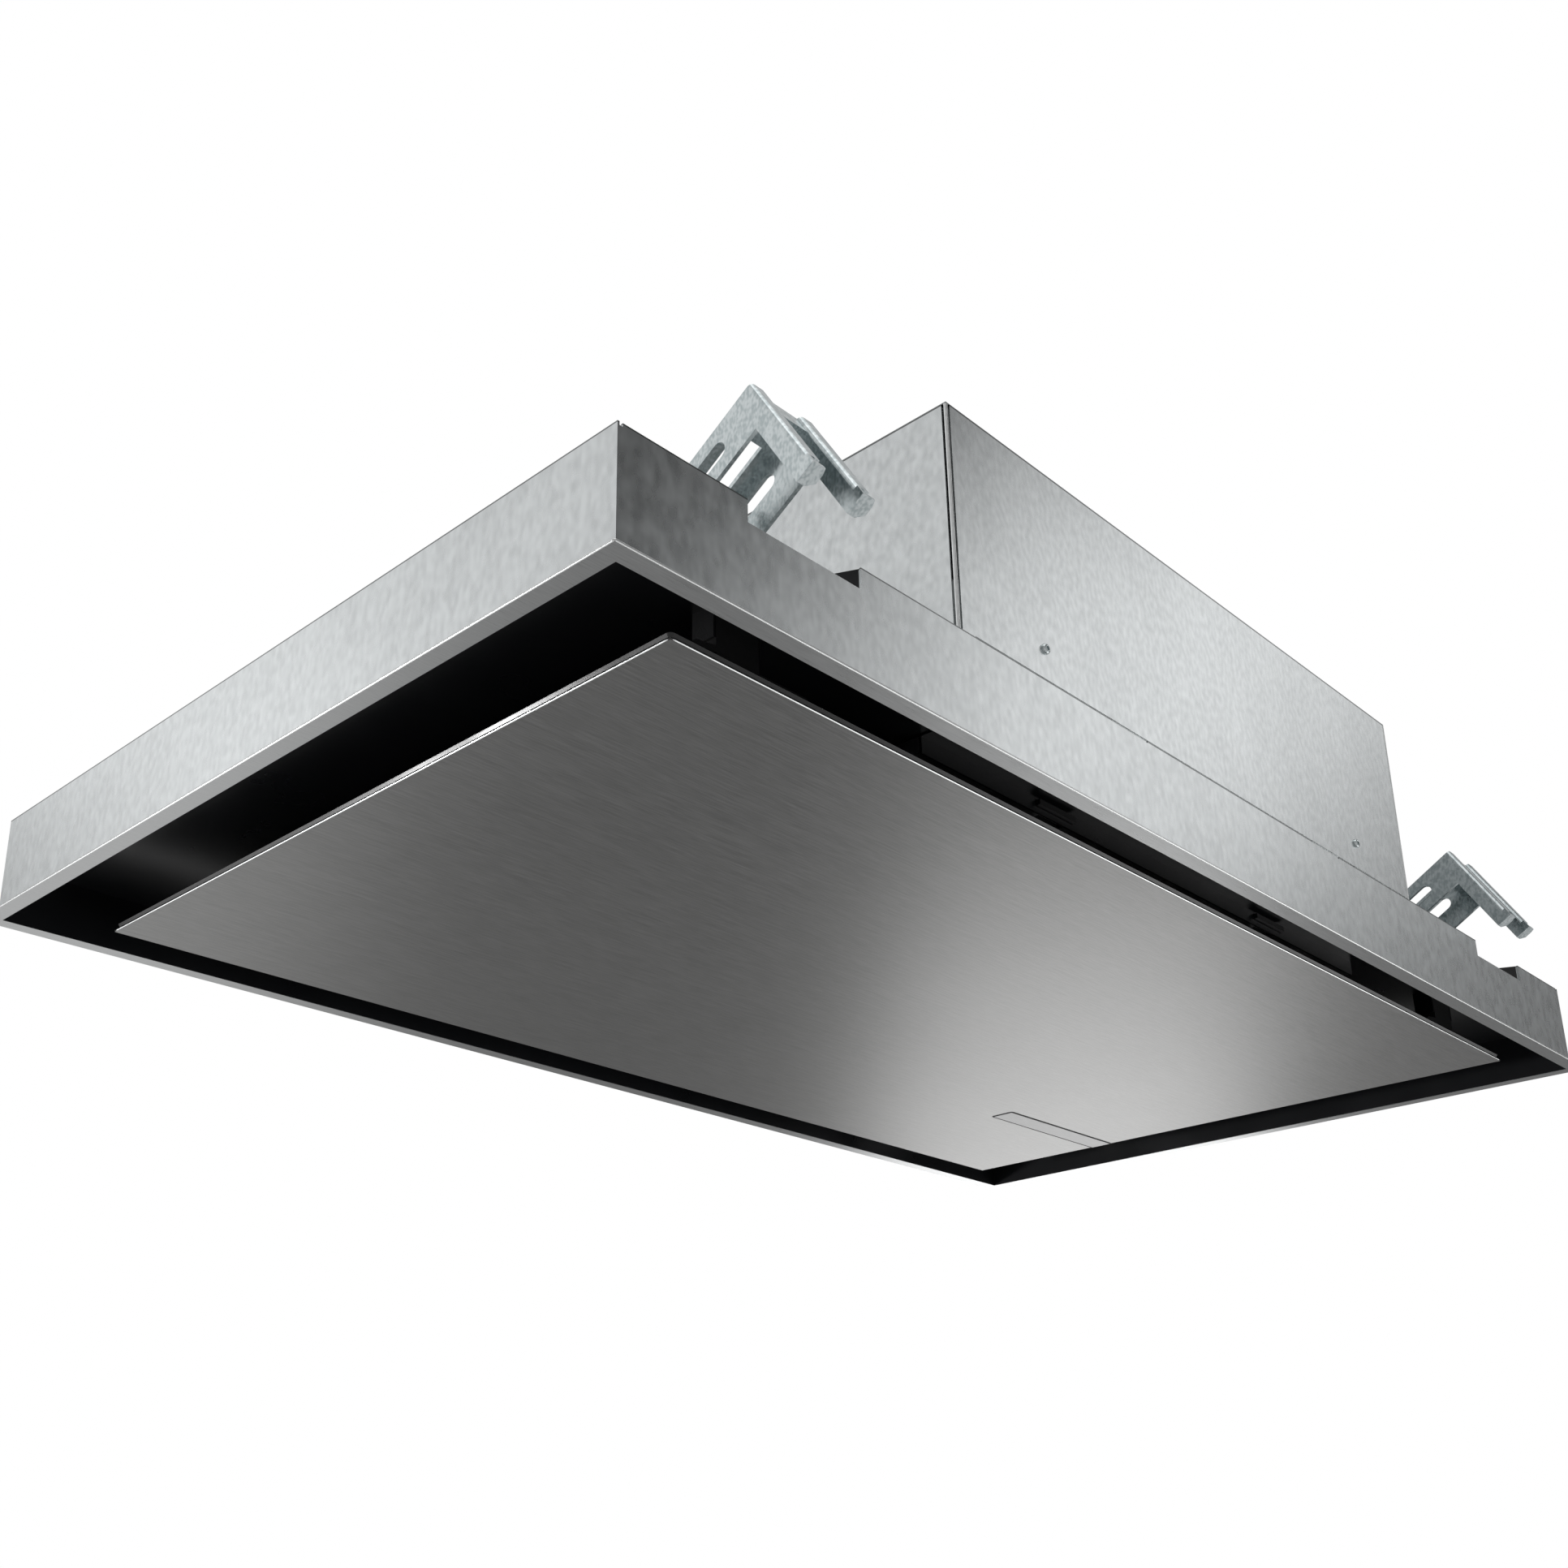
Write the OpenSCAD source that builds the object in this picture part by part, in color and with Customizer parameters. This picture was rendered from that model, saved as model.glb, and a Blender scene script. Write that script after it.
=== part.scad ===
// Ceiling range hood: a flanged sheet metal tray set into the ceiling, a brushed suction panel
// hung in its mouth, a blower in a box on top, and four clamps that grip the ceiling board.
// The origin is the centre of the flange's underside, +Z up, with the long side along X.

/* [Flange and tray] */
// Length of the flange
flange_w = 900; // [840:10:1100]
// Depth of the flange
flange_d = 500; // [480:5:600]
// Thickness of the flange strip
flange_t = 1; // [0.8:0.1:2]
// Lip of the flange outside the tray wall
lip_out = 7; // [5:0.5:12]
// Thickness of the tray's sheet
sheet_t = 1; // [0.6:0.1:1.5]
// Height of the tray wall's top edge
wall_top = 58; // [54:1:75]
// Height of the deck's underside
deck_z = 31; // [31:0.5:36]
// Drop of the flange under the wall's foot
seat_relief = 0.1; // [0.05:0.05:0.3]
// Length of the folded return at the ends of the side walls
return_l = 14; // [8:1:20]

/* [Wall notches] */
// Distance of the clamps and their notches from the side wall's outer face
clamp_in = 102.5; // [98:0.5:108]
// Width of a notch
notch_w = 68; // [62:1:74]
// Height of the notch's floor
notch_z = 47.3; // [44:0.1:49]
// Length of the tab folded in beside a notch
tab_l = 18; // [10:1:24]
// Lean of that tab, in degrees
tab_lean = 26; // [10:1:40]
// Depth of the two shallow slots in the wall's top edge
slot_cut = 1; // [0.5:0.1:2]
// Length of the shallow slots
slot_l = 32; // [20:1:40]
// Distance of the shallow slots from the centre
slot_x = 102; // [80:1:130]
// Relief cut where the walls meet at a top corner
corner_cut = 1.6; // [1:0.1:3]

/* [Suction panel] */
// Distance of the panel's ends from the flange's
panel_in_x = 60; // [50:1:80]
// Distance of the panel's long edges from the flange's
panel_in_y = 34; // [30:1:37]
// Height of the panel's underside above the flange's
panel_z = 0.4; // [0.2:0.1:1]
// Thickness of the panel's skin
skin_t = 1; // [0.8:0.1:1.2]
// Height of the rim above the skin
rim_h = 3.2; // [2:0.1:4]
// Inset of the rim from the skin's edge
rim_inset = 0.6; // [0.3:0.1:2]
// Thickness of the inner frame's sheet
frame_t = 0.8; // [0.5:0.1:1]
// Width of the inner frame's band
band_w = 40; // [36:1:60]
// Length of the strip let into the underside
badge_l = 131; // [100:1:160]
// Width of that strip
badge_w = 16; // [10:1:24]
// Thickness of that strip
badge_t = 0.8; // [0.6:0.1:0.9]
// Depth of the recess that holds it
badge_recess = 0.5; // [0.3:0.1:0.6]
// Distance of the strip's centre behind the panel's centre
badge_y = 100; // [60:1:160]

/* [Panel hinge and catches] */
// Distance of each hinge from the centre
hinge_x = 290; // [270:1:310]
// Distance of the hinge axis behind the centre
hinge_y = 206; // [204:0.5:207]
// Height of the hinge axis
hinge_z = 12; // [11.5:0.1:13]
// Diameter of the hinge pin
hinge_pin_d = 5; // [4:0.1:6]
// Distance of the catch posts' row in front of the centre
catch_y = 205; // [203:0.5:208]
// Distance of a catch's inner edge from the panel's end
catch_in = 86; // [82:1:90]
// Length of a catch's base
catch_l = 56; // [50:1:60]
// Width of a catch's post
post_w = 25; // [18:1:28]
// Height of a catch's top
post_top = 28; // [24:0.5:28]

/* [Motor box] */
// Length of the box
box_w = 458.6; // [450:1:470]
// Depth of the box
box_d = 471.2; // [460:1:476]
// Height of the box's top
box_top = 187.7; // [187:0.1:200]
// Thickness of the box's panels
panel_t = 0.8; // [0.6:0.1:1]
// Height of the panels' lower edge
box_seam_z = 66; // [62:0.5:70]
// Diameter of the corner bead
bead_d = 2; // [1.5:0.1:3]
// Gap between a bead and the panels beside it
bead_gap = 0.8; // [0.5:0.1:1.5]
// Length of a corner post's legs
post_leg = 12; // [8:1:16]
// Distance of the panel screws from the centre
screw_x = 160.7; // [140:1:180]
// Height of the panel screws
screw_z = 82.4; // [78:0.5:86]

/* [Blower] */
// Diameter of the outlet collar
collar_d = 150; // [140:1:150]
// Length of the outlet collar
collar_l = 54; // [45:1:80]
// Distance of the blower's axis left of the centre
fan_x = 30; // [20:1:40]
// Distance of the blower's axis in front of the centre
fan_y = 112; // [110:1:113]
// Diameter of the impeller
wheel_d = 150; // [146:1:154]
// Height of the impeller
wheel_h = 92; // [80:1:96]
// Number of blades
blades = 36; // [24:1:44]
// Gap between the impeller and the start of the scroll
cutoff_gap = 10; // [8:0.5:14]
// Growth of the scroll's radius over its sweep
scroll_growth = 75; // [70:1:76]
// Height of the scroll's walls
scroll_h = 124; // [118:1:126]
// Diameter of the motor
motor_d = 100; // [90:1:108]
// Diameter of the motor's shaft
shaft_d = 8; // [6:0.5:10]

/* [Filters] */
// Length of one filter
filter_w = 212; // [206:1:213]
// Depth of the filters
filter_d = 396; // [390:1:398]
// Thickness of the filters
filter_t = 8; // [7:0.5:8.5]
// Pitch of the corrugated mesh
mesh_pitch = 8; // [6:0.5:12]
// Travel of a filter's latch
latch_travel = 5; // [4:0.5:6]

/* [Ceiling clamps] */
// Distance of the clamp's shoulder inside the wall's outer face
claw_in = 14.7; // [13:0.1:16]
// Height of the clamp's pivot above the deck
pivot_rise = 16.2; // [15.5:0.1:18]
// Tilt of the clamp as stored, in degrees
claw_tilt = 30.6; // [30:0.1:32]
// Length of the leg from the shoulder to the pivot
leg_l = 145; // [142:0.5:148]
// Depth of the leg of the first plate
leg_h = 22.2; // [20:0.2:24]
// Depth of the leg of the second plate
leg_h2 = 29; // [26:0.5:30]
// Length of the arm
arm_l = 64.6; // [60:0.5:66]
// Width of the arm
arm_w = 10.4; // [9:0.1:11]
// Thickness of the clamp's sheet
claw_t = 2; // [1.5:0.1:2.5]
// Distance between the two plates
plate_gap = 28.5; // [24:0.5:30]
// Width of the rim along the arm
rim_w = 7.5; // [6:0.5:8]
// Width of the slots in the leg
leg_slot_w = 8.3; // [7:0.1:9]
// Diameter of the pivot pin
pivot_d = 8; // [6:0.5:9]
// Diameter of the threaded rod
rod_d = 5; // [4:0.5:6]
// Distance of the rods from the centre
rod_y = 192; // [190:0.5:194]
// Height of the rods' tops
rod_top = 107; // [100:1:107]

/* [Hidden] */
$fn = 64;

// Overrun of cuts and the gaps between pieces
over = 1;
gap = 0.3;
run_gap = 0.06;

// Places worked out from the sizes above
flange_x = flange_w / 2;
flange_y = flange_d / 2;
wall_x = flange_x - lip_out;
wall_y = flange_y - lip_out;
in_x = wall_x - sheet_t;
in_y = wall_y - sheet_t;
throat_x = in_x - flange_t;
throat_y = in_y - flange_t;
seat_z = flange_t - seat_relief;
deck_top = deck_z + sheet_t;
skin_top = panel_z + skin_t;
band_top = skin_top + frame_t;
panel_w = flange_w - panel_in_x - panel_in_x;
panel_d = flange_d - panel_in_y - panel_in_y;
catch_x = panel_w / 2 - catch_in;
clamp_x = wall_x - clamp_in;
rim_top = skin_top + rim_h;
box_x = box_w / 2;
box_y = box_d / 2;
cover_z = box_top - panel_t;
panel_end = bead_d + bead_gap;

// A block between two opposite corners
module block(low, high) {
    translate(low) cube(high - low);
}

// A flat outline in the XZ plane, given depth along Y
module along_y(y0, y1) {
    translate([0, y1, 0]) rotate([90, 0, 0]) linear_extrude(y1 - y0) children();
}

// A flat outline in the YZ plane, given length along X
module along_x(x0, x1) {
    translate([x0, 0, 0]) rotate([90, 0, 90]) linear_extrude(x1 - x0) children();
}

// A slot with round ends between two points of the plane
module slot(from, to, width) {
    run = to - from;
    translate(from) circle(d = width);
    translate(to) circle(d = width);
    translate(from)
        rotate(atan2(run[1], run[0]))
            translate([0, -width / 2]) square([norm(run), width]);
}

// Flange strips: an L of lip and upstand, the lip relieved under the wall's foot
module flange_profile(edge) {
    wall_face = edge - lip_out;
    inner = wall_face - sheet_t - flange_t;
    polygon([[inner, 0], [edge, 0], [edge, flange_t], [wall_face, flange_t],
        [wall_face, seat_z], [inner + flange_t, seat_z], [inner + flange_t, deck_z],
        [inner, deck_z]]);
}

module flange_front() {
    color("silver")
        difference() {
            mirror([0, 1, 0]) along_x(-flange_x, flange_x) flange_profile(flange_y);
            flange_end_cuts(-1);
        }
}

module flange_back() {
    color("silver")
        difference() {
            along_x(-flange_x, flange_x) flange_profile(flange_y);
            flange_end_cuts(1);
        }
}

// The upstand of a long strip stops inside the side walls
module flange_end_cuts(side) {
    for (end = [-1, 1])
        scale([end, side, 1]) {
            block([in_x, 0, seat_z], [flange_x + over, in_y + sheet_t, deck_z + over]);
        }
}

module flange_left() {
    color("silver")
        rotate([0, 0, 180]) flange_side();
}

module flange_right() {
    color("silver") flange_side();
}

module flange_side() {
    translate([0, throat_y, 0])
        rotate([90, 0, 0])
            linear_extrude(throat_y + throat_y) flange_profile(flange_x);
}

// Long tray walls with two notches, their folded tabs and two shallow slots
module long_wall() {
    floor_z = notch_z;
    difference() {
        block([-in_x, -wall_y, seat_z], [in_x, -in_y, wall_top]);
        for (side = [-1, 1]) {
            translate([side * clamp_x, 0, 0])
                block([-notch_w / 2, -wall_y - over, floor_z],
                    [notch_w / 2, -in_y + over, wall_top + over]);
            translate([side * slot_x, 0, 0])
                block([-slot_l / 2, -wall_y - over, wall_top - slot_cut],
                    [slot_l / 2, -in_y + over, wall_top + over]);
            scale([side, 1, 1])
                block([in_x - corner_cut, -wall_y - over, wall_top - corner_cut],
                    [in_x + over, -in_y + over, wall_top + over]);
        }
    }
    lean = tab_l * [-sin(tab_lean), cos(tab_lean)];
    foot = sheet_t / cos(tab_lean);
    for (side = [-1, 1])
        translate([side * clamp_x + notch_w / 2 + sheet_t / 2, -in_y, floor_z])
            linear_extrude(wall_top - floor_z)
                polygon([[0, -sheet_t / 2], [foot, -sheet_t / 2], [foot, 0],
                    [foot + lean[0], lean[1]], lean, [0, 0]]);
}

module tray_front_wall() {
    color("lightgray") long_wall();
}

module tray_back_wall() {
    color("lightgray") mirror([0, 1, 0]) long_wall();
}

// Side walls, each with a return folded in behind the long walls
module side_wall() {
    block([in_x, -wall_y, seat_z], [wall_x, wall_y, wall_top]);
    for (side = [-1, 1])
        scale([1, side, 1])
            block([in_x - return_l, in_y - sheet_t, deck_top],
                [in_x, in_y, wall_top - corner_cut - sheet_t]);
}

module tray_left_wall() {
    color("gainsboro") mirror([1, 0, 0]) side_wall();
}

module tray_right_wall() {
    color("gainsboro") side_wall();
}

// Deck across the tray, open under the blower, with holes for the clamp rods
deck_rest_x = 7;
deck_rest_y = 10;
deck_open_x = filter_w - deck_rest_x;
deck_open_y = filter_d / 2 - deck_rest_y;
rod_hole_d = rod_d + gap + gap;

module deck_plate() {
    color("dimgray")
        difference() {
            block([-in_x, -in_y, deck_z], [in_x, in_y, deck_top]);
            block([-deck_open_x, -deck_open_y, deck_z - over],
                [deck_open_x, deck_open_y, deck_top + over]);
            for (sx = [-1, 1], sy = [-1, 1])
                translate([sx * clamp_x, sy * rod_y, deck_z - over])
                    cylinder(d = rod_hole_d, h = sheet_t + over + over);
        }
}

// Base frame of the motor box: a foot ring, and rails whose upper half steps in behind the panels
foot_w = 20;
rail_t = 1;
rail_top = 92;
rail_z = deck_top + rail_t;
leg_gap = 13;

module rail(half_l, cut) {
    block([-half_l + cut, 0, rail_z], [half_l, rail_t, box_seam_z - rail_t]);
    block([-half_l, panel_t, rail_z], [half_l, panel_t + rail_t, rail_top]);
}

module box_base_frame() {
    rail_x = box_x - panel_end;
    rail_y = box_y - panel_end;
    color("gray")
        difference() {
            union() {
                difference() {
                    block([-box_x, -box_y, deck_top], [box_x, box_y, rail_z]);
                    block([-box_x + foot_w, -box_y + foot_w, deck_top - over],
                        [box_x - foot_w, box_y - foot_w, rail_z + over]);
                }
                translate([0, -box_y, 0]) rail(rail_x, leg_gap - panel_end);
                translate([0, box_y, 0]) rotate([0, 0, 180]) rail(rail_x, 0);
                translate([-box_x, 0, 0]) rotate([0, 0, -90]) rail(rail_y, 0);
                translate([box_x, 0, 0]) rotate([0, 0, 90]) rail(rail_y, 0);
            }
            for (side = [-1, 1])
                translate([side * screw_x, 0, screw_z])
                    rotate([90, 0, 0])
                        cylinder(d = screw_hole_d, h = box_d + over, center = true);
            collar_bore(collar_d - collar_t - collar_t);
        }
}

// Panels of the motor box
screw_hole_d = 4.2;

module box_sheet(half_l, low_z) {
    block([-half_l, 0, low_z], [half_l, panel_t, cover_z - bead_gap / 2]);
}

module screw_holes() {
    for (side = [-1, 1])
        translate([side * screw_x, 0, screw_z])
            rotate([90, 0, 0]) cylinder(d = screw_hole_d, h = foot_w, center = true);
}

module box_front_panel() {
    half_l = box_x - panel_end;
    color("darkgray")
        translate([0, -box_y, 0])
            difference() {
                union() {
                    box_sheet(half_l, box_seam_z);
                    block([-half_l, 0, rail_z + gap],
                        [-box_x + leg_gap - bead_gap, panel_t, box_seam_z]);
                }
                screw_holes();
            }
}

module box_back_panel() {
    color("darkgray")
        difference() {
            translate([0, box_y, 0])
                rotate([0, 0, 180])
                    difference() {
                        box_sheet(box_x - panel_end, box_seam_z);
                        screw_holes();
                    }
            translate([-gland_x, box_y, gland_z])
                rotate([90, 0, 0]) cylinder(d = gland_hole_d, h = foot_w, center = true);
        }
}

module box_left_panel() {
    color("gainsboro")
        translate([-box_x, 0, 0])
            rotate([0, 0, -90]) box_sheet(box_y - panel_end, box_seam_z);
}

module box_right_panel() {
    color("gainsboro")
        difference() {
            translate([box_x, 0, 0])
                rotate([0, 0, 90]) box_sheet(box_y - panel_end, box_seam_z);
            collar_bore(collar_d - collar_t - collar_t);
        }
}

// Cover with folded edges inside the front, back and left panels
hem_h = 9;

module box_top_cover() {
    hem_x = box_x - post_leg - panel_end;
    hem_y = box_y - post_leg - panel_end;
    color("dimgray") {
        block([-box_x + gap, -box_y + gap, cover_z], [box_x - gap, box_y - gap, box_top]);
        for (side = [-1, 1])
            scale([1, side, 1])
                block([-hem_x, box_y - panel_t - panel_t, cover_z - hem_h],
                    [hem_x, box_y - panel_t, cover_z]);
        block([-box_x + panel_t, -hem_y, cover_z - hem_h],
            [-box_x + panel_t + panel_t, hem_y, cover_z]);
    }
}

// Corner posts: a round bead between the panels, carried by an angle inside them
module box_corner_posts() {
    leg_in = panel_t + rail_t;
    bead_r = bead_d / 2;
    color("white")
        for (sx = [-1, 1], sy = [-1, 1])
            scale([sx, sy, 1]) {
                translate([box_x - bead_r, box_y - bead_r, rail_z])
                    cylinder(d = bead_d, h = cover_z - rail_z);
                translate([box_x - leg_in - rail_t, box_y - leg_in - post_leg, rail_z])
                    cube([rail_t, post_leg, cover_z - rail_z]);
                translate([box_x - leg_in - post_leg, box_y - leg_in - rail_t, rail_z])
                    cube([post_leg, rail_t, cover_z - rail_z]);
                translate([box_x - bead_r, box_y - bead_r, rail_z])
                    rotate([0, 0, -135])
                        translate([0, -bead_r / 2, 0])
                            cube([leg_in + rail_t, bead_r, cover_z - rail_z]);
            }
}

// Pan head screws that hold the front and back panels to the rails
screw_head_d = 5.4;
screw_head_h = 1.8;
screw_shank_d = 3.8;
screw_l = 7;

module box_screws() {
    color("white")
        for (sx = [-1, 1], sy = [-1, 1])
            scale([1, sy, 1])
                translate([sx * screw_x, box_y, screw_z])
                    rotate([-90, 0, 0]) {
                        cylinder(d1 = screw_head_d, d2 = screw_shank_d, h = screw_head_h);
                        translate([0, 0, -screw_l]) cylinder(d = screw_shank_d, h = screw_l);
                    }
}

// Outlet collar on the right side, with the spindle of its two flaps
cutoff_angle = 60;
collar_t = 1;
collar_base_w = 164;
collar_end = box_x + collar_l;
collar_z = (rail_z + cover_z) / 2;
outlet_high = -fan_y + wheel_d / 2 + cutoff_gap + scroll_growth;
outlet_low = -fan_y + (wheel_d / 2 + cutoff_gap) * sin(cutoff_angle);
collar_y = (outlet_high + outlet_low) / 2;
spindle_d = 4;
spindle_share = 0.28;
spindle_x = box_x + collar_l * spindle_share;

module collar_bore(d) {
    translate([box_x - foot_w, collar_y, collar_z])
        rotate([0, 90, 0]) cylinder(d = d, h = foot_w + collar_l + over, $fn = 96);
}

module outlet_collar() {
    base_h = collar_d / 2;
    color("silver")
        difference() {
            union() {
                translate([box_x, collar_y, collar_z])
                    rotate([0, 90, 0]) cylinder(d = collar_d, h = collar_l, $fn = 96);
                block([box_x, collar_y - collar_base_w / 2, collar_z - base_h],
                    [box_x + collar_t, collar_y + collar_base_w / 2, collar_z + base_h]);
            }
            collar_bore(collar_d - collar_t - collar_t);
            translate([spindle_x, collar_y, collar_z])
                cylinder(d = spindle_d + run_gap, h = collar_d + over, center = true);
        }
}

module flap_spindle() {
    color("gray")
        translate([spindle_x, collar_y, collar_z])
            cylinder(d = spindle_d, h = collar_d - gap, center = true);
}

// A flap is half a disc with two knuckles round the spindle
flap_t = 1;
flap_gap = 1;
knuckle_d = 6.4;
knuckle_shares = [[-0.78, -0.42], [0.02, 0.38]];

module flap() {
    reach = collar_d / 2 - collar_t - flap_gap;
    clear = knuckle_d / 2 + gap;
    difference() {
        union() {
            rotate([0, 90, 0])
                translate([0, 0, -flap_t / 2])
                    linear_extrude(flap_t)
                        difference() {
                            circle(r = reach, $fn = 96);
                            translate([-reach - over, -reach - over])
                                square([reach + reach + over + over, reach + over + clear]);
                        }
            for (share = knuckle_shares) {
                low = share[0] * reach;
                high = share[1] * reach;
                translate([0, 0, low]) cylinder(d = knuckle_d, h = high - low);
                block([-flap_t / 2, 0, low], [flap_t / 2, clear + flap_t, high]);
            }
        }
        cylinder(d = spindle_d + run_gap + run_gap, h = collar_d, center = true);
    }
}

module flap_left() {
    color("gray") translate([spindle_x, collar_y, collar_z]) flap();
}

module flap_right() {
    color("gray") translate([spindle_x, collar_y, collar_z]) rotate([180, 0, 0]) flap();
}

// Blower scroll: its radius grows evenly with the angle from the cut-off round to the outlet
scroll_t = 1.2;
scroll_z = 44;
scroll_start = wheel_d / 2 + cutoff_gap;
scroll_sweep = 270 + cutoff_angle;
scroll_end_x = box_x - panel_t - rail_t - gap;
sweep_steps = 33;
plate_t = 1.5;
inlet_step = 34;
inlet_d = wheel_d - inlet_step;

function scroll_r(turned) = scroll_start + scroll_growth * turned / scroll_sweep;
function scroll_point(turned, inset) =
    (scroll_r(turned) - inset) * [cos(cutoff_angle - turned), sin(cutoff_angle - turned)]
    + [-fan_x, -fan_y];

module scroll_outline(inset, extra) {
    tip = scroll_point(0, inset);
    polygon(concat(
        [for (i = [0 : sweep_steps]) scroll_point(scroll_sweep * i / sweep_steps, inset)],
        [[scroll_end_x + extra, outlet_high - inset],
            [scroll_end_x + extra, outlet_low + inset],
            [tip[0] - inset, outlet_low + inset]]));
}

module scroll_housing() {
    color("darkslategray")
        difference() {
            translate([0, 0, scroll_z - plate_t])
                linear_extrude(scroll_h + plate_t) scroll_outline(0, 0);
            translate([0, 0, scroll_z])
                linear_extrude(scroll_h + over) scroll_outline(scroll_t, over);
            translate([-fan_x, -fan_y, scroll_z - plate_t - over])
                cylinder(d = inlet_d + over, h = plate_t + over + over);
        }
}

module scroll_lid() {
    color("slategray")
        difference() {
            translate([0, 0, scroll_z + scroll_h])
                linear_extrude(plate_t) scroll_outline(0, 0);
            translate([-fan_x, -fan_y, scroll_z + scroll_h - over])
                cylinder(d = inlet_d + over, h = plate_t + over + over);
        }
}

// Rubber bushes that hang the scroll from the cover
bush_d = 16;
bush_inset = 28;

module scroll_bushes() {
    low = scroll_z + scroll_h + plate_t;
    color("black") {
        for (turned = [60, 150, 240]) {
            place = scroll_point(turned, bush_inset);
            translate([place[0], place[1], low]) cylinder(d = bush_d, h = cover_z - low);
        }
        translate([box_x - collar_l, collar_y, low]) cylinder(d = bush_d, h = cover_z - low);
    }
}

// Bell mouth under the scroll
bell_w = 12;
bell_h = 9;

module inlet_ring() {
    throat = inlet_d / 2;
    top = scroll_z - plate_t;
    color("black")
        translate([-fan_x, -fan_y, 0])
            rotate_extrude($fn = 96)
                difference() {
                    translate([throat - plate_t, top - plate_t])
                        square([bell_w, bell_h + plate_t]);
                    translate([throat, top])
                        square([bell_w, bell_h + over]);
                }
}

// Motor, the spider that carries it on the lid, and its shaft
wheel_z = scroll_z + (scroll_h - wheel_h) / 2;
disc_z = wheel_z + wheel_h / 2;
disc_t = 2;
spider_z = scroll_z + scroll_h + plate_t;
spider_t = 2;
motor_gap = 8;
shaft_in = 24;

module fan_motor() {
    low = disc_z + disc_t + motor_gap;
    color("dimgray")
        translate([-fan_x, -fan_y, 0])
            difference() {
                union() {
                    translate([0, 0, low]) cylinder(d = motor_d, h = spider_z - low);
                    translate([0, 0, spider_z + spider_t])
                        cylinder(d = motor_d / 2, h = spider_t);
                }
                translate([0, 0, low - over])
                    cylinder(d = shaft_d + run_gap + run_gap, h = shaft_in + over);
            }
}

module motor_spider() {
    arm_reach = inlet_d / 2 + bell_w;
    color("gray")
        translate([-fan_x, -fan_y, spider_z])
            linear_extrude(spider_t) {
                circle(d = motor_d);
                for (angle = [30, 150, 270])
                    rotate(angle)
                        translate([0, -bell_w / 2]) square([arm_reach, bell_w]);
            }
}

module motor_shaft() {
    low = disc_z - hub_h;
    top = disc_z + disc_t + motor_gap + shaft_in - gap;
    color("white")
        translate([-fan_x, -fan_y, low]) cylinder(d = shaft_d, h = top - low);
}

// Impeller: forward-curved blades between two rings and a middle disc
blade_t = 1;
blade_w = 15;
blade_curve = 13;
ring_h = 3;
hub_d = 44;
hub_h = 12;
blade_steps = 4;

// A blade is a band along an arc that meets the outer ring leaning forward
module blade() {
    foot = wheel_d / 2 - blade_w;
    span = 78;
    centre = [foot + blade_w / 2, -blade_curve * cos(span / 2) + blade_t];
    points = [for (i = [0 : blade_steps]) 90 - span / 2 + span * i / blade_steps];
    polygon(concat(
        [for (a = points) centre + blade_curve * [cos(a), sin(a)]],
        [for (i = [blade_steps : -1 : 0])
            centre + (blade_curve - blade_t) * [cos(points[i]), sin(points[i])]]));
}

module impeller_wheel() {
    inner = wheel_d / 2 - blade_w;
    color("silver")
        translate([-fan_x, -fan_y, 0]) {
            translate([0, 0, wheel_z])
                linear_extrude(wheel_h)
                    for (i = [0 : blades - 1])
                        rotate(360 * i / blades) blade();
            for (z = [wheel_z, wheel_z + wheel_h - ring_h])
                translate([0, 0, z])
                    difference() {
                        cylinder(d = wheel_d + blade_t, h = ring_h, $fn = 96);
                        translate([0, 0, -over])
                            cylinder(r = inner + blade_w / 2, h = ring_h + over + over, $fn = 96);
                    }
            translate([0, 0, disc_z])
                difference() {
                    cylinder(r = inner + blade_w / 2, h = disc_t, $fn = 96);
                    translate([0, 0, -over])
                        cylinder(d = shaft_d + gap, h = disc_t + over + over);
                }
        }
}

module impeller_hub() {
    color("gray")
        translate([-fan_x, -fan_y, disc_z - hub_h])
            difference() {
                union() {
                    cylinder(d = hub_d / 2, h = hub_h);
                    translate([0, 0, hub_h - ring_h]) cylinder(d = hub_d, h = ring_h);
                }
                translate([0, 0, -over])
                    cylinder(d = shaft_d + run_gap, h = hub_h + over + over);
            }
}

// Control box on the inner face of the left panel
control_w = 88;
control_h = 74;
control_t = 30;
control_z = 96;
control_y = 120;
control_wall = 2;

module control_box() {
    low = [-box_x + panel_t, control_y, control_z];
    high = low + [control_t, control_w, control_h];
    wall = [control_wall, control_wall, control_wall];
    color("black")
        difference() {
            block(low, high);
            block(low + wall - [control_t, 0, 0], high - wall);
        }
}

// Cable gland in the back panel
gland_in = 79.3;
gland_x = box_x - gland_in;
gland_z = 150;
gland_hole_d = 14.4;
gland_neck_d = 14;
gland_nut_d = 20;
gland_nut_h = 4;
gland_out = 11;
cable_d = 8;

module cable_gland() {
    inner = panel_t + gland_nut_h;
    color("black")
        translate([-gland_x, box_y, gland_z])
            rotate([-90, 0, 0])
                rotate_extrude()
                    difference() {
                        union() {
                            translate([0, -inner])
                                square([gland_neck_d / 2, inner + gland_out]);
                            square([gland_nut_d / 2, gland_nut_h]);
                            translate([0, -inner])
                                square([gland_nut_d / 2, gland_nut_h]);
                        }
                        translate([0, -inner - over])
                            square([cable_d / 2, inner + gland_out + over + over]);
                    }
}

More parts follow.
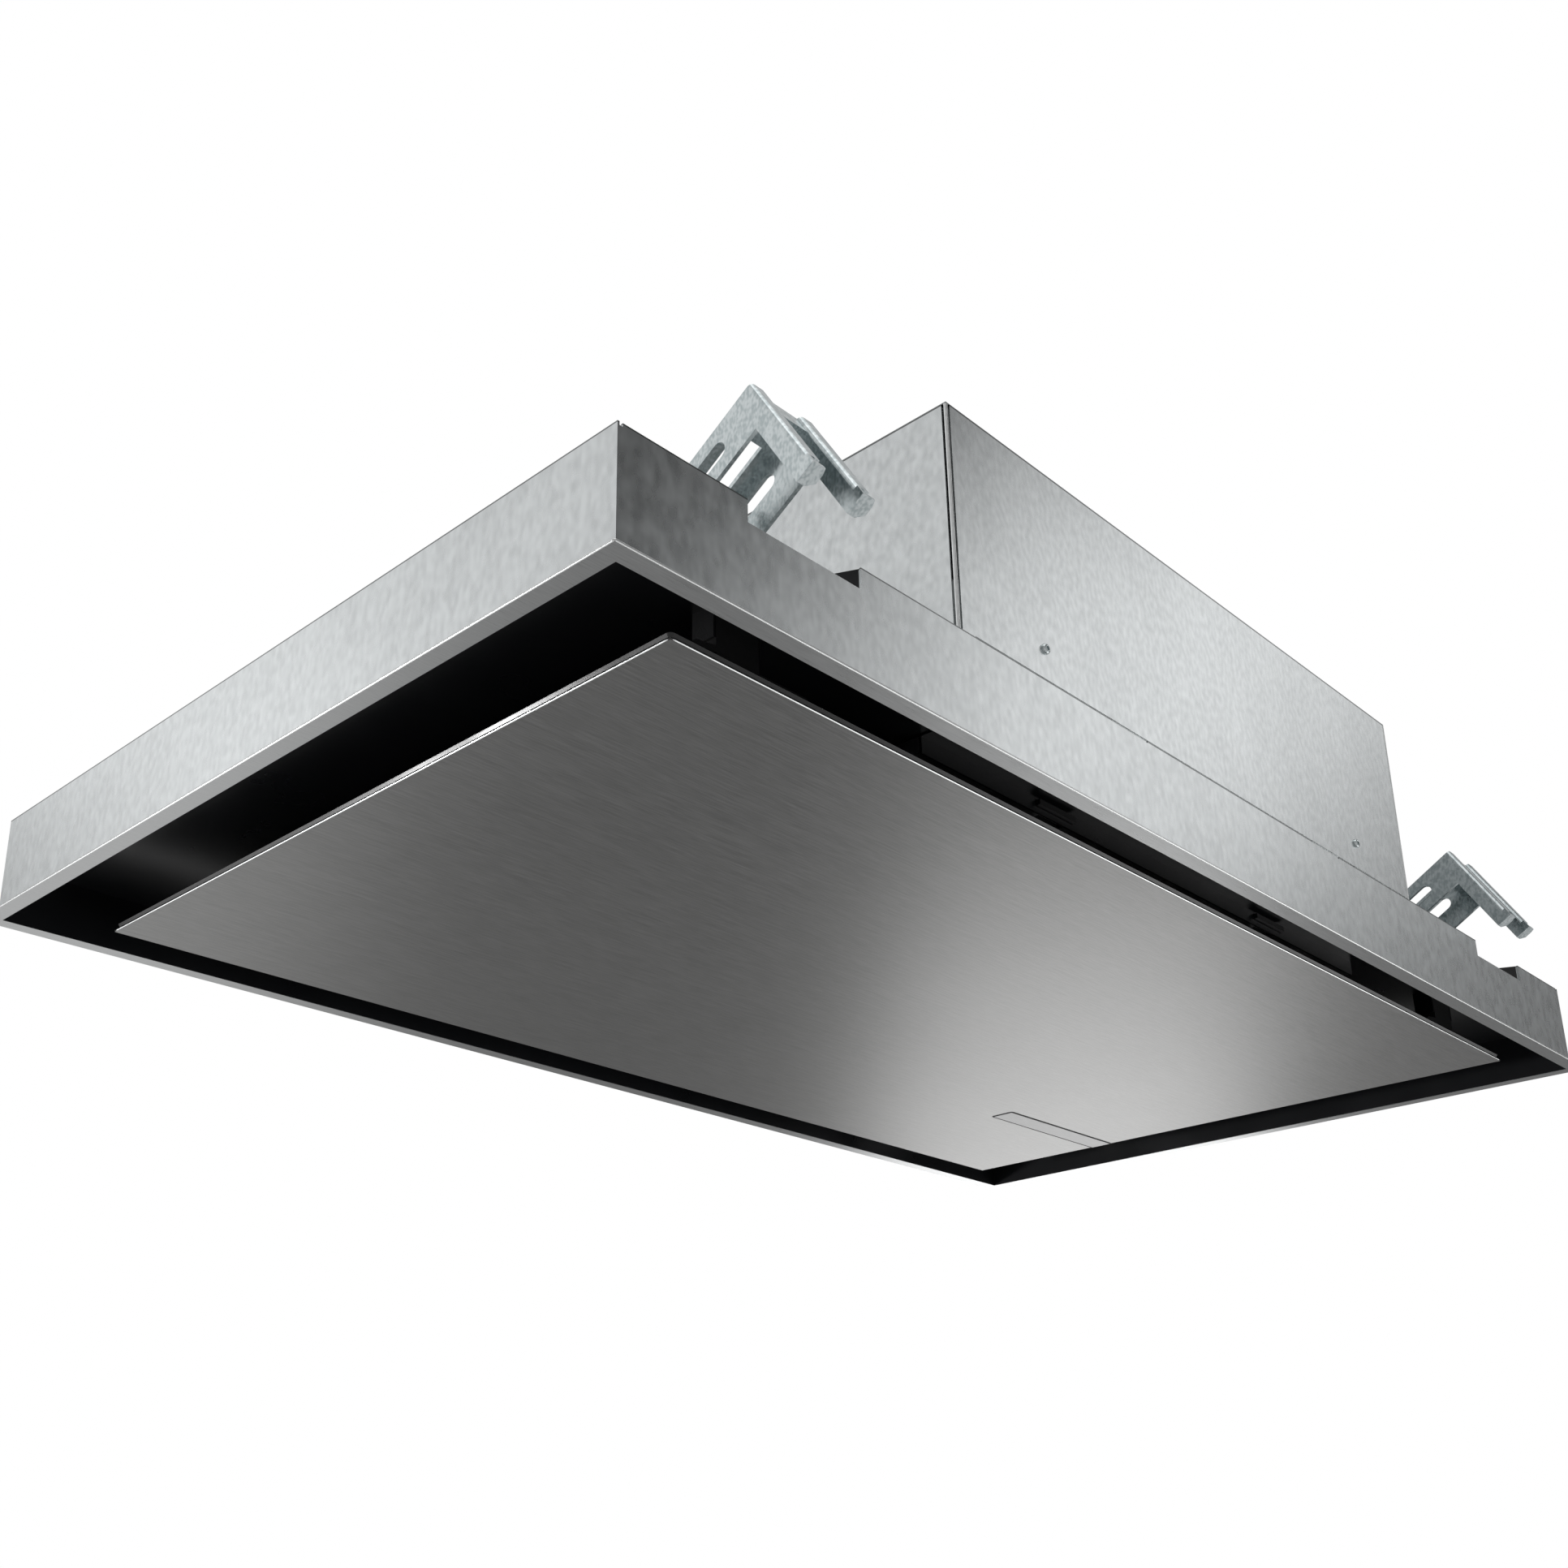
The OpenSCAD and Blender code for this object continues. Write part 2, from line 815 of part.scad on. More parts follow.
// Rails under the deck: a ledge behind the filters, and slots in front for their latches
ledge_w = 8;
filter_gap = 3;
rail_gap = 0.5;
filter_z = deck_z - gap - gap - filter_t;
filter_front = -filter_d / 2;
filter_out = filter_w + filter_gap / 2;
bolt_w = 31.2;
bolt_h = 3;
bolt_rise = 2.6;
bolt_z = filter_z + bolt_rise;
bolt_out = 4;
bolt_in = 14;
grip_w = 20;
grip_l = 6;
grip_drop = 3;
pocket_l = 24;
front_bar = 30;
side_bar = 14;
latch_mid = (filter_w + filter_gap) / 2;

module filter_rails() {
    back = filter_d / 2 + rail_gap;
    front = filter_front - rail_gap;
    low = filter_z - rail_t;
    color("gray") {
        block([-filter_out, back, low], [filter_out, back + rail_t, deck_z]);
        block([-filter_out, back - ledge_w, low], [filter_out, back, filter_z]);
        block([-filter_out, back, deck_z - rail_t], [filter_out, back + ledge_w, deck_z]);
        difference() {
            union() {
                block([-filter_out, front - rail_t, low], [filter_out, front, deck_z]);
                block([-filter_out, front - ledge_w, deck_z - rail_t],
                    [filter_out, front, deck_z]);
            }
            for (side = [-1, 1])
                translate([side * latch_mid, front, 0])
                    block([-bolt_w / 2 - rail_gap, -rail_t - over, bolt_z - rail_gap],
                        [bolt_w / 2 + rail_gap, over, bolt_z + bolt_h + rail_gap]);
        }
    }
}

// Filter frame with a pocket for the latch in its front bar
module filter_frame() {
    half_w = filter_w / 2;
    color("silver")
        difference() {
            block([-half_w, filter_front, filter_z], [half_w, -filter_front, filter_z + filter_t]);
            block([-half_w + side_bar, filter_front + front_bar, filter_z - over],
                [half_w - side_bar, -filter_front - side_bar, filter_z + filter_t + over]);
            block([-bolt_w / 2 - gap, filter_front - over, bolt_z - gap],
                [bolt_w / 2 + gap, filter_front + pocket_l, bolt_z + bolt_h + gap]);
            block([-grip_w / 2 - rail_gap, filter_front + rail_t, filter_z - over],
                [grip_w / 2 + rail_gap, filter_front + pocket_l, bolt_z]);
        }
}

module filter_left_frame() {
    translate([-latch_mid, 0, 0]) filter_frame();
}

module filter_right_frame() {
    translate([latch_mid, 0, 0]) filter_frame();
}

// Corrugated metal mesh inside a frame
mesh_h = 5;
mesh_t = 0.8;

module filter_mesh() {
    half_w = filter_w / 2 - side_bar - gap;
    folds = floor((half_w + half_w) / mesh_pitch) * 2;
    step = (half_w + half_w) / folds;
    low = filter_z + (filter_t - mesh_h - mesh_t) / 2;
    crest = [for (i = [0 : folds]) [-half_w + step * i, low + mesh_h * (i % 2)]];
    color("lightgray")
        along_y(filter_front + front_bar + gap, -filter_front - side_bar - gap)
            polygon(concat(crest,
                [for (i = [folds : -1 : 0]) crest[i] + [0, mesh_t]]));
}

module filter_left_mesh() {
    translate([-latch_mid, 0, 0]) filter_mesh();
}

module filter_right_mesh() {
    translate([latch_mid, 0, 0]) filter_mesh();
}

// Latch: a flat bolt in the frame's pocket, with a grip below
module filter_latch() {
    color("black") {
        block([-bolt_w / 2, filter_front - bolt_out, bolt_z],
            [bolt_w / 2, filter_front + bolt_in, bolt_z + bolt_h]);
        block([-grip_w / 2, filter_front + bolt_out, filter_z - grip_drop],
            [grip_w / 2, filter_front + bolt_out + grip_l, bolt_z + bolt_h]);
    }
}

module filter_left_latch() {
    translate([-latch_mid, 0, 0]) filter_latch();
}

module filter_right_latch() {
    translate([latch_mid, 0, 0]) filter_latch();
}

// Panel skin with a shallow recess that is open at its right edge
badge_end = panel_w / 2;

module panel_skin() {
    half = [panel_w / 2, panel_d / 2];
    color("dimgray")
        difference() {
            block([-half[0], -half[1], panel_z], [half[0], half[1], skin_top]);
            block([badge_end - badge_l - gap, badge_y - badge_w / 2 - gap, panel_z - over],
                [badge_end + over, badge_y + badge_w / 2 + gap, panel_z + badge_recess]);
        }
}

// Bare strip in that recess
module badge_strip() {
    top = panel_z + badge_recess;
    color("lightgray")
        block([badge_end - badge_l, badge_y - badge_w / 2, top - badge_t],
            [badge_end, badge_y + badge_w / 2, top]);
}

// Inner frame: a band on the skin with a rim round the outside
module panel_inner_frame() {
    out_x = panel_w / 2 - rim_inset;
    out_y = panel_d / 2 - rim_inset;
    color("black")
        difference() {
            block([-out_x, -out_y, skin_top], [out_x, out_y, rim_top]);
            block([-out_x + frame_t, -out_y + frame_t, band_top],
                [out_x - frame_t, out_y - frame_t, rim_top + over]);
            block([-out_x + band_w, -out_y + band_w, skin_top - over],
                [out_x - band_w, out_y - band_w, rim_top + over]);
        }
}

// Hat sections across the skin
hat_w = 36;
hat_h = 5;
hat_brim = 10;
hat_pitch = 170;

module panel_stiffeners() {
    reach = panel_d / 2 - rim_inset - band_w - gap;
    half = hat_w / 2;
    color("gray")
        for (side = [-1, 0, 1])
            translate([side * hat_pitch, 0, skin_top])
                along_y(-reach, reach)
                    polygon([[-half - hat_brim, 0], [-half, 0], [-half, hat_h - frame_t],
                        [half, hat_h - frame_t], [half, 0], [half + hat_brim, 0],
                        [half + hat_brim, frame_t], [half + frame_t, frame_t],
                        [half + frame_t, hat_h], [-half - frame_t, hat_h],
                        [-half - frame_t, frame_t], [-half - hat_brim, frame_t]]);
}

// Hinge arms on the panel, each with an eye round the pin
eye_d = 11;
eye_w = 8;
arm_t = 6;
arm_foot_x = 14;
arm_foot_y = 8;
arm_foot_t = 1.5;

module hinge_arms() {
    color("gray")
        for (side = [-1, 1])
            translate([side * hinge_x, hinge_y, 0])
                difference() {
                    union() {
                        along_x(-eye_w / 2, eye_w / 2) {
                            translate([0, hinge_z]) circle(d = eye_d);
                            translate([-arm_t / 2, band_top])
                                square([arm_t, hinge_z - band_top]);
                        }
                        block([-arm_foot_x, -arm_foot_y, band_top],
                            [arm_foot_x, arm_foot_y, band_top + arm_foot_t]);
                    }
                    translate([0, 0, hinge_z])
                        rotate([0, 90, 0])
                            cylinder(d = hinge_pin_d + run_gap + run_gap, h = eye_w + over,
                                center = true);
                }
}

// Hinge brackets under the deck, and their pins
cheek_gap = 1.5;
cheek_t = 1.5;
cheek_w = 12;

module hinge_brackets() {
    inner = eye_w / 2 + cheek_gap;
    color("gray")
        for (side = [-1, 1])
            translate([side * hinge_x, hinge_y, 0])
                difference() {
                    union() {
                        for (turn = [-1, 1])
                            scale([turn, 1, 1])
                                along_x(inner, inner + cheek_t) {
                                    translate([0, hinge_z]) circle(d = cheek_w);
                                    translate([-cheek_w / 2, hinge_z])
                                        square([cheek_w, deck_z - hinge_z]);
                                }
                        block([-inner - cheek_w, -cheek_w / 2, deck_z - cheek_t],
                            [inner + cheek_w, cheek_w / 2, deck_z]);
                    }
                    translate([0, 0, hinge_z])
                        rotate([0, 90, 0])
                            cylinder(d = hinge_pin_d + run_gap, h = foot_w + foot_w,
                                center = true);
                }
}

module hinge_pins() {
    length = eye_w + cheek_gap + cheek_gap + cheek_t + cheek_t + cheek_t;
    color("white")
        for (side = [-1, 1])
            translate([side * hinge_x, hinge_y, hinge_z])
                rotate([0, 90, 0]) cylinder(d = hinge_pin_d, h = length, center = true);
}

// Catch posts on the panel's front band, and the sprung leaves that grip them
post_t = 12;
catch_base_h = 7;
catch_round = 3;
brace_w = 22;
leaf_t = 1;
leaf_gap = 0.4;
leaf_z = 16;

module catch_posts() {
    base_top = band_top + catch_base_h;
    color("black")
        for (left = [catch_x, -catch_x - catch_l])
            translate([left, 0, 0])
                along_y(-catch_y - post_t / 2, -catch_y + post_t / 2) {
                    translate([0, band_top]) square([post_w, post_top - band_top]);
                    translate([0, band_top])
                        square([catch_l, catch_base_h - catch_round]);
                    translate([0, band_top])
                        square([catch_l - catch_round, catch_base_h]);
                    translate([catch_l - catch_round, base_top - catch_round])
                        circle(r = catch_round);
                    polygon([[0, base_top], [0, base_top + catch_round],
                        [-brace_w / 2, base_top + catch_round / 2], [-brace_w, band_top],
                        [-brace_w + catch_round, band_top],
                        [-brace_w / 2 + catch_round, base_top - catch_round / 2]]);
                }
}

module catch_receivers() {
    color("gray")
        for (left = [catch_x, -catch_x - catch_l])
            translate([left, -catch_y, 0]) {
                low_x = -leaf_gap - leaf_t;
                high_x = post_w + leaf_gap;
                block([low_x, -post_t / 2, deck_z - leaf_t],
                    [high_x + leaf_t, post_t / 2, deck_z]);
                block([low_x, -post_t / 2, leaf_z], [low_x + leaf_t, post_t / 2, deck_z]);
                block([high_x, -post_t / 2, leaf_z], [high_x + leaf_t, post_t / 2, deck_z]);
            }
}

// Ceiling clamp, drawn untilted: the shoulder is at the origin, the leg runs along +Y and the
// arm hangs down from it
slot_start = 29.2;
slot_end = 96;
slot_drop = leg_h / 2;
claw_shift = 0.75;
web_start = 9;
web_open_w = 15;
web_open_start = 20;
web_open_end = 124;
lip_drop = 12;
foot_gap = 4;
foot_cut = 3;
bend_r = 2.4;
taper_l = 40;

module claw_plate(depth) {
    difference() {
        union() {
            translate([0, -leg_h]) square([leg_l, leg_h]);
            translate([leg_l, -slot_drop]) circle(d = leg_h);
            polygon([[0, -depth], [leg_l - taper_l, -depth], [leg_l, -leg_h], [0, -leg_h + over]]);
            translate([0, -arm_l]) square([arm_w, arm_l]);
        }
        slot([slot_start, -slot_drop], [slot_end, -slot_drop], leg_slot_w);
        translate([leg_l, -slot_drop]) circle(d = pivot_d + run_gap + run_gap);
    }
}

// Rim along the arm's outer edge, with a rounded bend, seen along the arm
bend_steps = 5;

module rim_profile() {
    polygon(concat([[claw_t, bend_r]],
        [for (i = [0 : bend_steps])
            bend_r * [1 - cos(90 * i / bend_steps), 1 - sin(90 * i / bend_steps)]],
        [[rim_w, 0], [rim_w, claw_t], [claw_t, claw_t]]));
}

module claw_side(depth) {
    rim_end = arm_l - claw_t - foot_gap;
    difference() {
        along_x(0, claw_t) claw_plate(depth);
        translate([-over, -over, -rim_end])
            cube([claw_t + over + over, bend_r + over, rim_end + over]);
    }
    translate([0, 0, -rim_end]) linear_extrude(rim_end) rim_profile();
    translate([0, 0, -arm_l])
        linear_extrude(claw_t)
            polygon([[0, 0], [rim_w, 0], [rim_w + claw_t / 2, foot_cut],
                [rim_w + claw_t / 2, arm_w - foot_cut], [rim_w - foot_cut, arm_w], [0, arm_w]]);
}

module claw() {
    second = plate_gap + claw_t;
    half = (plate_gap + claw_t + claw_t) / 2;
    translate([-half, 0, 0]) {
        claw_side(leg_h);
        translate([second, 0, 0]) claw_side(leg_h2);
        difference() {
            block([claw_t, web_start, -claw_t], [second, leg_l, 0]);
            translate([second / 2 + claw_t / 2, 0, 0])
                block([-web_open_w / 2, web_open_start, -claw_t - over],
                    [web_open_w / 2, web_open_end, over]);
        }
        block([claw_t, claw_t, -lip_drop], [second, claw_t + claw_t, 0]);
        block([claw_t, claw_t, -claw_t], [second, web_start, 0]);
    }
}

module clamp_place(side) {
    color("silver")
        translate([side * clamp_x + claw_shift, -wall_y + claw_in, claw_z])
            rotate([-claw_tilt, 0, 0]) claw();
}

module clamp_front_left() {
    clamp_place(-1);
}

module clamp_front_right() {
    clamp_place(1);
}

module clamp_back_left() {
    mirror([0, 1, 0]) clamp_place(-1);
}

module clamp_back_right() {
    mirror([0, 1, 0]) clamp_place(1);
}

// Carriers on the deck: two cheeks round each pivot and a bridge for the rod
pivot_y = -wall_y + claw_in + leg_l * cos(claw_tilt) - slot_drop * sin(claw_tilt);
pivot_z = deck_top + pivot_rise;
claw_z = pivot_z + leg_l * sin(claw_tilt) + slot_drop * cos(claw_tilt);
carrier_t = 2;
carrier_gap = 0.6;
carrier_half = (plate_gap + claw_t + claw_t) / 2 + carrier_gap;
cheek_r = 10;
carrier_cheek_w = 34;
carrier_foot = 12;
bridge_w = 22;
bridge_l = 24;
bridge_z = 46;
pivot_head_d = 11;
pivot_head_h = 1.5;
nut_d = 9;
nut_h = 4;
head_d = 9;
head_h = 5;

module carrier() {
    foot_top = deck_top + carrier_t;
    translate([claw_shift, pivot_y, 0])
        difference() {
            for (turn = [-1, 1])
                scale([turn, 1, 1]) {
                    along_x(carrier_half, carrier_half + carrier_t) {
                        translate([0, pivot_z]) circle(r = cheek_r);
                        polygon([[-carrier_cheek_w / 2, deck_top], [carrier_cheek_w / 2, deck_top],
                            [cheek_r, pivot_z], [-cheek_r, pivot_z]]);
                    }
                    block([carrier_half, -carrier_cheek_w / 2, deck_top],
                        [carrier_half + carrier_foot, carrier_cheek_w / 2, foot_top]);
                }
            translate([0, 0, pivot_z])
                rotate([0, 90, 0])
                    cylinder(d = pivot_d + run_gap, h = flange_d, center = true);
        }
    translate([0, -rod_y, 0])
        difference() {
            block([-bridge_w / 2, -bridge_l / 2, deck_top], [bridge_w / 2, bridge_l / 2, bridge_z]);
            block([-bridge_w / 2 - over, -bridge_l / 2 + carrier_t, deck_top - over],
                [bridge_w / 2 + over, bridge_l / 2 - carrier_t, bridge_z - carrier_t]);
            cylinder(d = rod_hole_d, h = bridge_z + over);
        }
}

module clamp_carriers() {
    color("silver")
        for (sx = [-1, 1], sy = [-1, 1])
            scale([1, sy, 1]) translate([sx * clamp_x, 0, 0]) carrier();
}

module clamp_pivots() {
    half = carrier_half + carrier_t;
    color("white")
        for (sx = [-1, 1], sy = [-1, 1])
            translate([sx * clamp_x + claw_shift, sy * pivot_y, pivot_z])
                rotate([0, 90, 0]) {
                    translate([0, 0, -half]) cylinder(d = pivot_d, h = half + half);
                    for (end = [-half - pivot_head_h, half])
                        translate([0, 0, end]) cylinder(d = pivot_head_d, h = pivot_head_h);
                }
}

module clamp_rods() {
    color("white")
        for (sx = [-1, 1], sy = [-1, 1])
            translate([sx * clamp_x, sy * rod_y, deck_z - head_h]) {
                cylinder(d = head_d, h = head_h, $fn = 6);
                cylinder(d = rod_d, h = rod_top - deck_z + head_h);
            }
}

module clamp_nuts() {
    color("white")
        for (sx = [-1, 1], sy = [-1, 1])
            translate([sx * clamp_x, sy * rod_y, bridge_z])
                difference() {
                    cylinder(d = nut_d, h = nut_h, $fn = 6);
                    translate([0, 0, -over])
                        cylinder(d = rod_d + run_gap, h = nut_h + over + over);
                }
}

flange_front();
flange_back();
flange_left();
flange_right();
tray_front_wall();
tray_back_wall();
tray_left_wall();
tray_right_wall();
deck_plate();
box_base_frame();
box_front_panel();
box_back_panel();
box_left_panel();
box_right_panel();
box_top_cover();
box_corner_posts();
box_screws();
outlet_collar();
flap_spindle();
flap_left();
flap_right();
scroll_housing();
scroll_lid();
scroll_bushes();
inlet_ring();
fan_motor();
motor_spider();
motor_shaft();
impeller_wheel();
impeller_hub();
control_box();
cable_gland();
filter_rails();
filter_left_frame();
filter_right_frame();
filter_left_mesh();
filter_right_mesh();
filter_left_latch();
filter_right_latch();
panel_skin();
panel_inner_frame();
panel_stiffeners();
badge_strip();
hinge_arms();
catch_posts();
catch_receivers();
hinge_brackets();
hinge_pins();
clamp_front_left();
clamp_front_right();
clamp_back_left();
clamp_back_right();
clamp_carriers();
clamp_pivots();
clamp_rods();
clamp_nuts();
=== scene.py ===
import math

import bmesh
import bpy
from mathutils import Matrix, Vector


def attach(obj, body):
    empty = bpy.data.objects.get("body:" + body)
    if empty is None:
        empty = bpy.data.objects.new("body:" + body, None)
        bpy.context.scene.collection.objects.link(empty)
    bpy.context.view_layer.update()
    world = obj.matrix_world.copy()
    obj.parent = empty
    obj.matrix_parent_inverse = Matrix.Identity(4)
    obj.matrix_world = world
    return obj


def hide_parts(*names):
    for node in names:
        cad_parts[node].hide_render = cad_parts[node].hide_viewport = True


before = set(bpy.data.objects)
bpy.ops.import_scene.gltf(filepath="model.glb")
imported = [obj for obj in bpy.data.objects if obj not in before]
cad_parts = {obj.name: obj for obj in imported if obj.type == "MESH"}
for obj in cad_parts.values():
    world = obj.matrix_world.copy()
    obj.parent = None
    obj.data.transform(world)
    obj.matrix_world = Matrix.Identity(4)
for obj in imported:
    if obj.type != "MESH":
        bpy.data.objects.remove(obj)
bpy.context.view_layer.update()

MM = 0.001
SIDES = (-1, 1)


# Camera: the photograph's viewing angle, from below the near left corner

YAW = math.radians(44.279)
PITCH = math.radians(20.019)
ROLL = math.radians(-0.411)
EYE = Vector((-804.9, -646.5, -352.9)) * MM
PHOTO_WIDTH = 1932.0
FOCAL_PIXELS = 2200.0
SENSOR = 36.0
SHIFT_X = 0.04
SHIFT_Y = 0.12
NEAREST = 0.01
FARTHEST = 100.0


def make_camera():
    forward = Vector((math.cos(YAW) * math.cos(PITCH), math.sin(YAW) * math.cos(PITCH), math.sin(PITCH)))
    right = Vector((math.sin(YAW), -math.cos(YAW), 0))
    up = right.cross(forward)
    right = right * math.cos(ROLL) + up * math.sin(ROLL)
    up = right.cross(forward)
    data = bpy.data.cameras.new("camera")
    data.sensor_width = SENSOR
    data.lens = FOCAL_PIXELS / PHOTO_WIDTH * SENSOR
    data.shift_x = SHIFT_X
    data.shift_y = SHIFT_Y
    data.clip_start = NEAREST
    data.clip_end = FARTHEST
    camera = bpy.data.objects.new("camera", data)
    turn = Matrix((right, up, -forward)).transposed()
    camera.matrix_world = Matrix.Translation(EYE) @ turn.to_4x4()
    bpy.context.scene.collection.objects.link(camera)
    bpy.context.scene.camera = camera


make_camera()
bpy.context.scene.view_settings.view_transform = "Standard"


# Node helpers

NOISE_LOW = 0.3
NOISE_HIGH = 0.7


def put(tree, kind, wires=None, **settings):
    """A new node. wires gives its inputs a value or another node's output."""
    made = tree.nodes.new("ShaderNode" + kind)
    for name, value in settings.items():
        setattr(made, name, value)
    for name, value in (wires or {}).items():
        if isinstance(value, bpy.types.NodeSocket):
            tree.links.new(value, made.inputs[name])
        else:
            made.inputs[name].default_value = value
    return made


def math_node(tree, what, a, b=0.0):
    return put(tree, "Math", {0: a, 1: b}, operation=what).outputs[0]


def weighted(tree, *parts):
    """The sum of values, each times its share."""
    total = None
    for value, share in parts:
        part = math_node(tree, "MULTIPLY", value, share)
        total = part if total is None else math_node(tree, "ADD", total, part)
    return total


def all_of(tree, tests):
    """1 where every test is 1, else 0."""
    share = tests[0]
    for test in tests[1:]:
        share = math_node(tree, "MULTIPLY", share, test)
    return share


def noise(tree, place, scale, detail=3.0, rough=0.55):
    return put(tree, "TexNoise", {"Vector": place, "Scale": scale, "Detail": detail,
                                  "Roughness": rough}).outputs[0]


def stretched(tree, place, scale):
    return put(tree, "Mapping", {"Vector": place, "Scale": scale}).outputs[0]


def axes_of(tree, place):
    return put(tree, "SeparateXYZ", {"Vector": place}).outputs


def spread(tree, value, a, b, c, d, smooth=False):
    """Maps the range a to b onto c to d."""
    return put(tree, "MapRange", {"Value": value, "From Min": a, "From Max": b, "To Min": c,
                                  "To Max": d},
               interpolation_type="SMOOTHSTEP" if smooth else "LINEAR").outputs[0]


def ramp(tree, value, start, end, smooth=False):
    """0 at the start and 1 at the end."""
    return spread(tree, value, start, end, 0.0, 1.0, smooth)


def from_noise(tree, value, low, high):
    """Maps the usual range of a noise onto low to high."""
    return spread(tree, value, NOISE_LOW, NOISE_HIGH, low, high)


def blend_colour(tree, share, a, b):
    made = put(tree, "Mix", {"Factor": share}, data_type="RGBA")
    for socket, value in ((made.inputs[6], a), (made.inputs[7], b)):
        if isinstance(value, bpy.types.NodeSocket):
            tree.links.new(value, socket)
        else:
            socket.default_value = (*value, 1.0)
    return made.outputs[2]


def blend_value(tree, share, a, b):
    return put(tree, "Mix", {"Factor": share, 2: a, 3: b}, data_type="FLOAT").outputs[0]


def scaled(colour, factor):
    return tuple(part * factor for part in colour)


def bump(tree, height, strength, distance):
    return put(tree, "Bump", {"Height": height, "Strength": strength, "Distance": distance}).outputs[0]


def material(name):
    """A material with its tree, its shader and the place on the object."""
    made = bpy.data.materials.new(name)
    made.use_nodes = True
    tree = made.node_tree
    tree.nodes.clear()
    shader = put(tree, "BsdfPrincipled")
    put(tree, "OutputMaterial", {"Surface": shader.outputs[0]})
    place = put(tree, "TexCoord").outputs["Object"]
    return made, tree, shader, place


def wire(tree, shader, **values):
    """Gives inputs of the shader a value or another node's output."""
    names = {"colour": "Base Color", "rough": "Roughness", "metal": "Metallic", "normal": "Normal",
             "aniso": "Anisotropic", "tangent": "Tangent"}
    for name, value in values.items():
        socket = shader.inputs[names[name]]
        if isinstance(value, bpy.types.NodeSocket):
            tree.links.new(value, socket)
        else:
            socket.default_value = value


# Finishes. Scales count per metre, depths of bumps are metres

# A black inner side, partly a coat and partly painted shade of the dark inside, and a darker band along a top
# edge
BLACK = (0.010, 0.0105, 0.012)
BLACK_ROUGH = (0.27, 0.31)
PEEL_SCALE = 25.0
DARK_TOP_BAND = (0.05, 0.052, 0.052)
DARK_TOP_BAND_SHARE = 0.75

# Mottled zinc: scale and share of each layer; blotches and flakes are taller than wide
CLOUD_SCALE, CLOUD_SHARE = 14.0, 0.25
BLOTCH_SCALE, BLOTCH_SHARE = 140.0, 0.35
FLAKE_SCALE, FLAKE_SHARE = 360.0, 0.40
UPRIGHT = (1.0, 1.0, 0.6)
ZINC_PITS = 0.0004

# Brushed steel: its grain runs along X
GRAIN = (1.0, 0.0, 0.0)
STREAK_SCALE = (45.0, 1500.0, 1500.0)
HAIR_SCALE = (130.0, 3600.0, 3600.0)
OFF_AXIS = (0.011, 0.017, 0.023)
GRAIN_DEPTH = 0.0003

# Woven metal: lines that lean either way from Y
WEAVE_SCALE = 1500.0
WEAVE_LEAN = 0.6
WEAVE_DEPTH = 0.0006
OPENING_SHADE = 0.12


def mottle(tree, place, grain):
    """Clouds, blotches and flakes of a zinc coating, from 0 to 1; then the blotches and the flakes alone."""
    upright = stretched(tree, place, UPRIGHT)
    clouds = noise(tree, place, CLOUD_SCALE * grain, 2.0)
    blotch = noise(tree, upright, BLOTCH_SCALE * grain, 1.0, 0.5)
    flake = noise(tree, upright, FLAKE_SCALE * grain, 0.0)
    total = weighted(tree, (clouds, CLOUD_SHARE), (blotch, BLOTCH_SHARE), (flake, FLAKE_SHARE))
    return total, blotch, flake


def inside_of(tree, place, half_x, half_y, low_z=None, high_z=None):
    """1 on the black inner side of a sheet, partly a coat and partly painted shade of the dark inside; 0 on
    its outer side.
    """
    x, y, z = axes_of(tree, place)
    tests = [math_node(tree, "LESS_THAN", math_node(tree, "ABSOLUTE", x), half_x),
             math_node(tree, "LESS_THAN", math_node(tree, "ABSOLUTE", y), half_y)]
    if low_z is not None:
        tests.append(math_node(tree, "GREATER_THAN", z, low_z))
    if high_z is not None:
        tests.append(math_node(tree, "LESS_THAN", z, high_z))
    return all_of(tree, tests)


def edged(tree, place, edge, colour):
    """The colour, darker in a band between two heights."""
    height = axes_of(tree, place)[2]
    share = all_of(tree, [math_node(tree, "GREATER_THAN", height, edge[0]),
                          math_node(tree, "LESS_THAN", height, edge[1])])
    return blend_colour(tree, math_node(tree, "MULTIPLY", share, DARK_TOP_BAND_SHARE), colour, DARK_TOP_BAND)


def coated_and_shaded(tree, place, coat_and_shade, colour, dull):
    """Colour, roughness and metalness of a sheet with a black inner side: partly a coat, partly painted shade
    of the dark inside.
    """
    # Painted shade: the black inner side stands in for the shade inside the tray as well as for a coat
    share = inside_of(tree, place, *coat_and_shade)
    peel = noise(tree, place, PEEL_SCALE, 2.0)
    dark = blend_colour(tree, peel, BLACK, scaled(BLACK, 1.5))
    return (blend_colour(tree, share, colour, dark),
            blend_value(tree, share, dull, from_noise(tree, peel, *BLACK_ROUGH)),
            math_node(tree, "SUBTRACT", 1.0, share))


def galvanised(name, low, high, rough, coat_and_shade=None, grain=1.0, edge=None):
    """Zinc-coated sheet, with a black inner side (partly a coat, partly painted shade) and a darker band
    along its top edge, where these are given.
    """
    made, tree, shader, place = material(name)
    total, blotch, _ = mottle(tree, place, grain)
    colour = blend_colour(tree, ramp(tree, total, 0.34, 0.66), low, high)
    dull = from_noise(tree, blotch, rough - 0.02, rough + 0.02)
    metal = 1.0
    if edge is not None:
        colour = edged(tree, place, edge, colour)
    if coat_and_shade is not None:
        colour, dull, metal = coated_and_shaded(tree, place, coat_and_shade, colour, dull)
    wire(tree, shader, colour=colour, rough=dull, metal=metal)
    return made


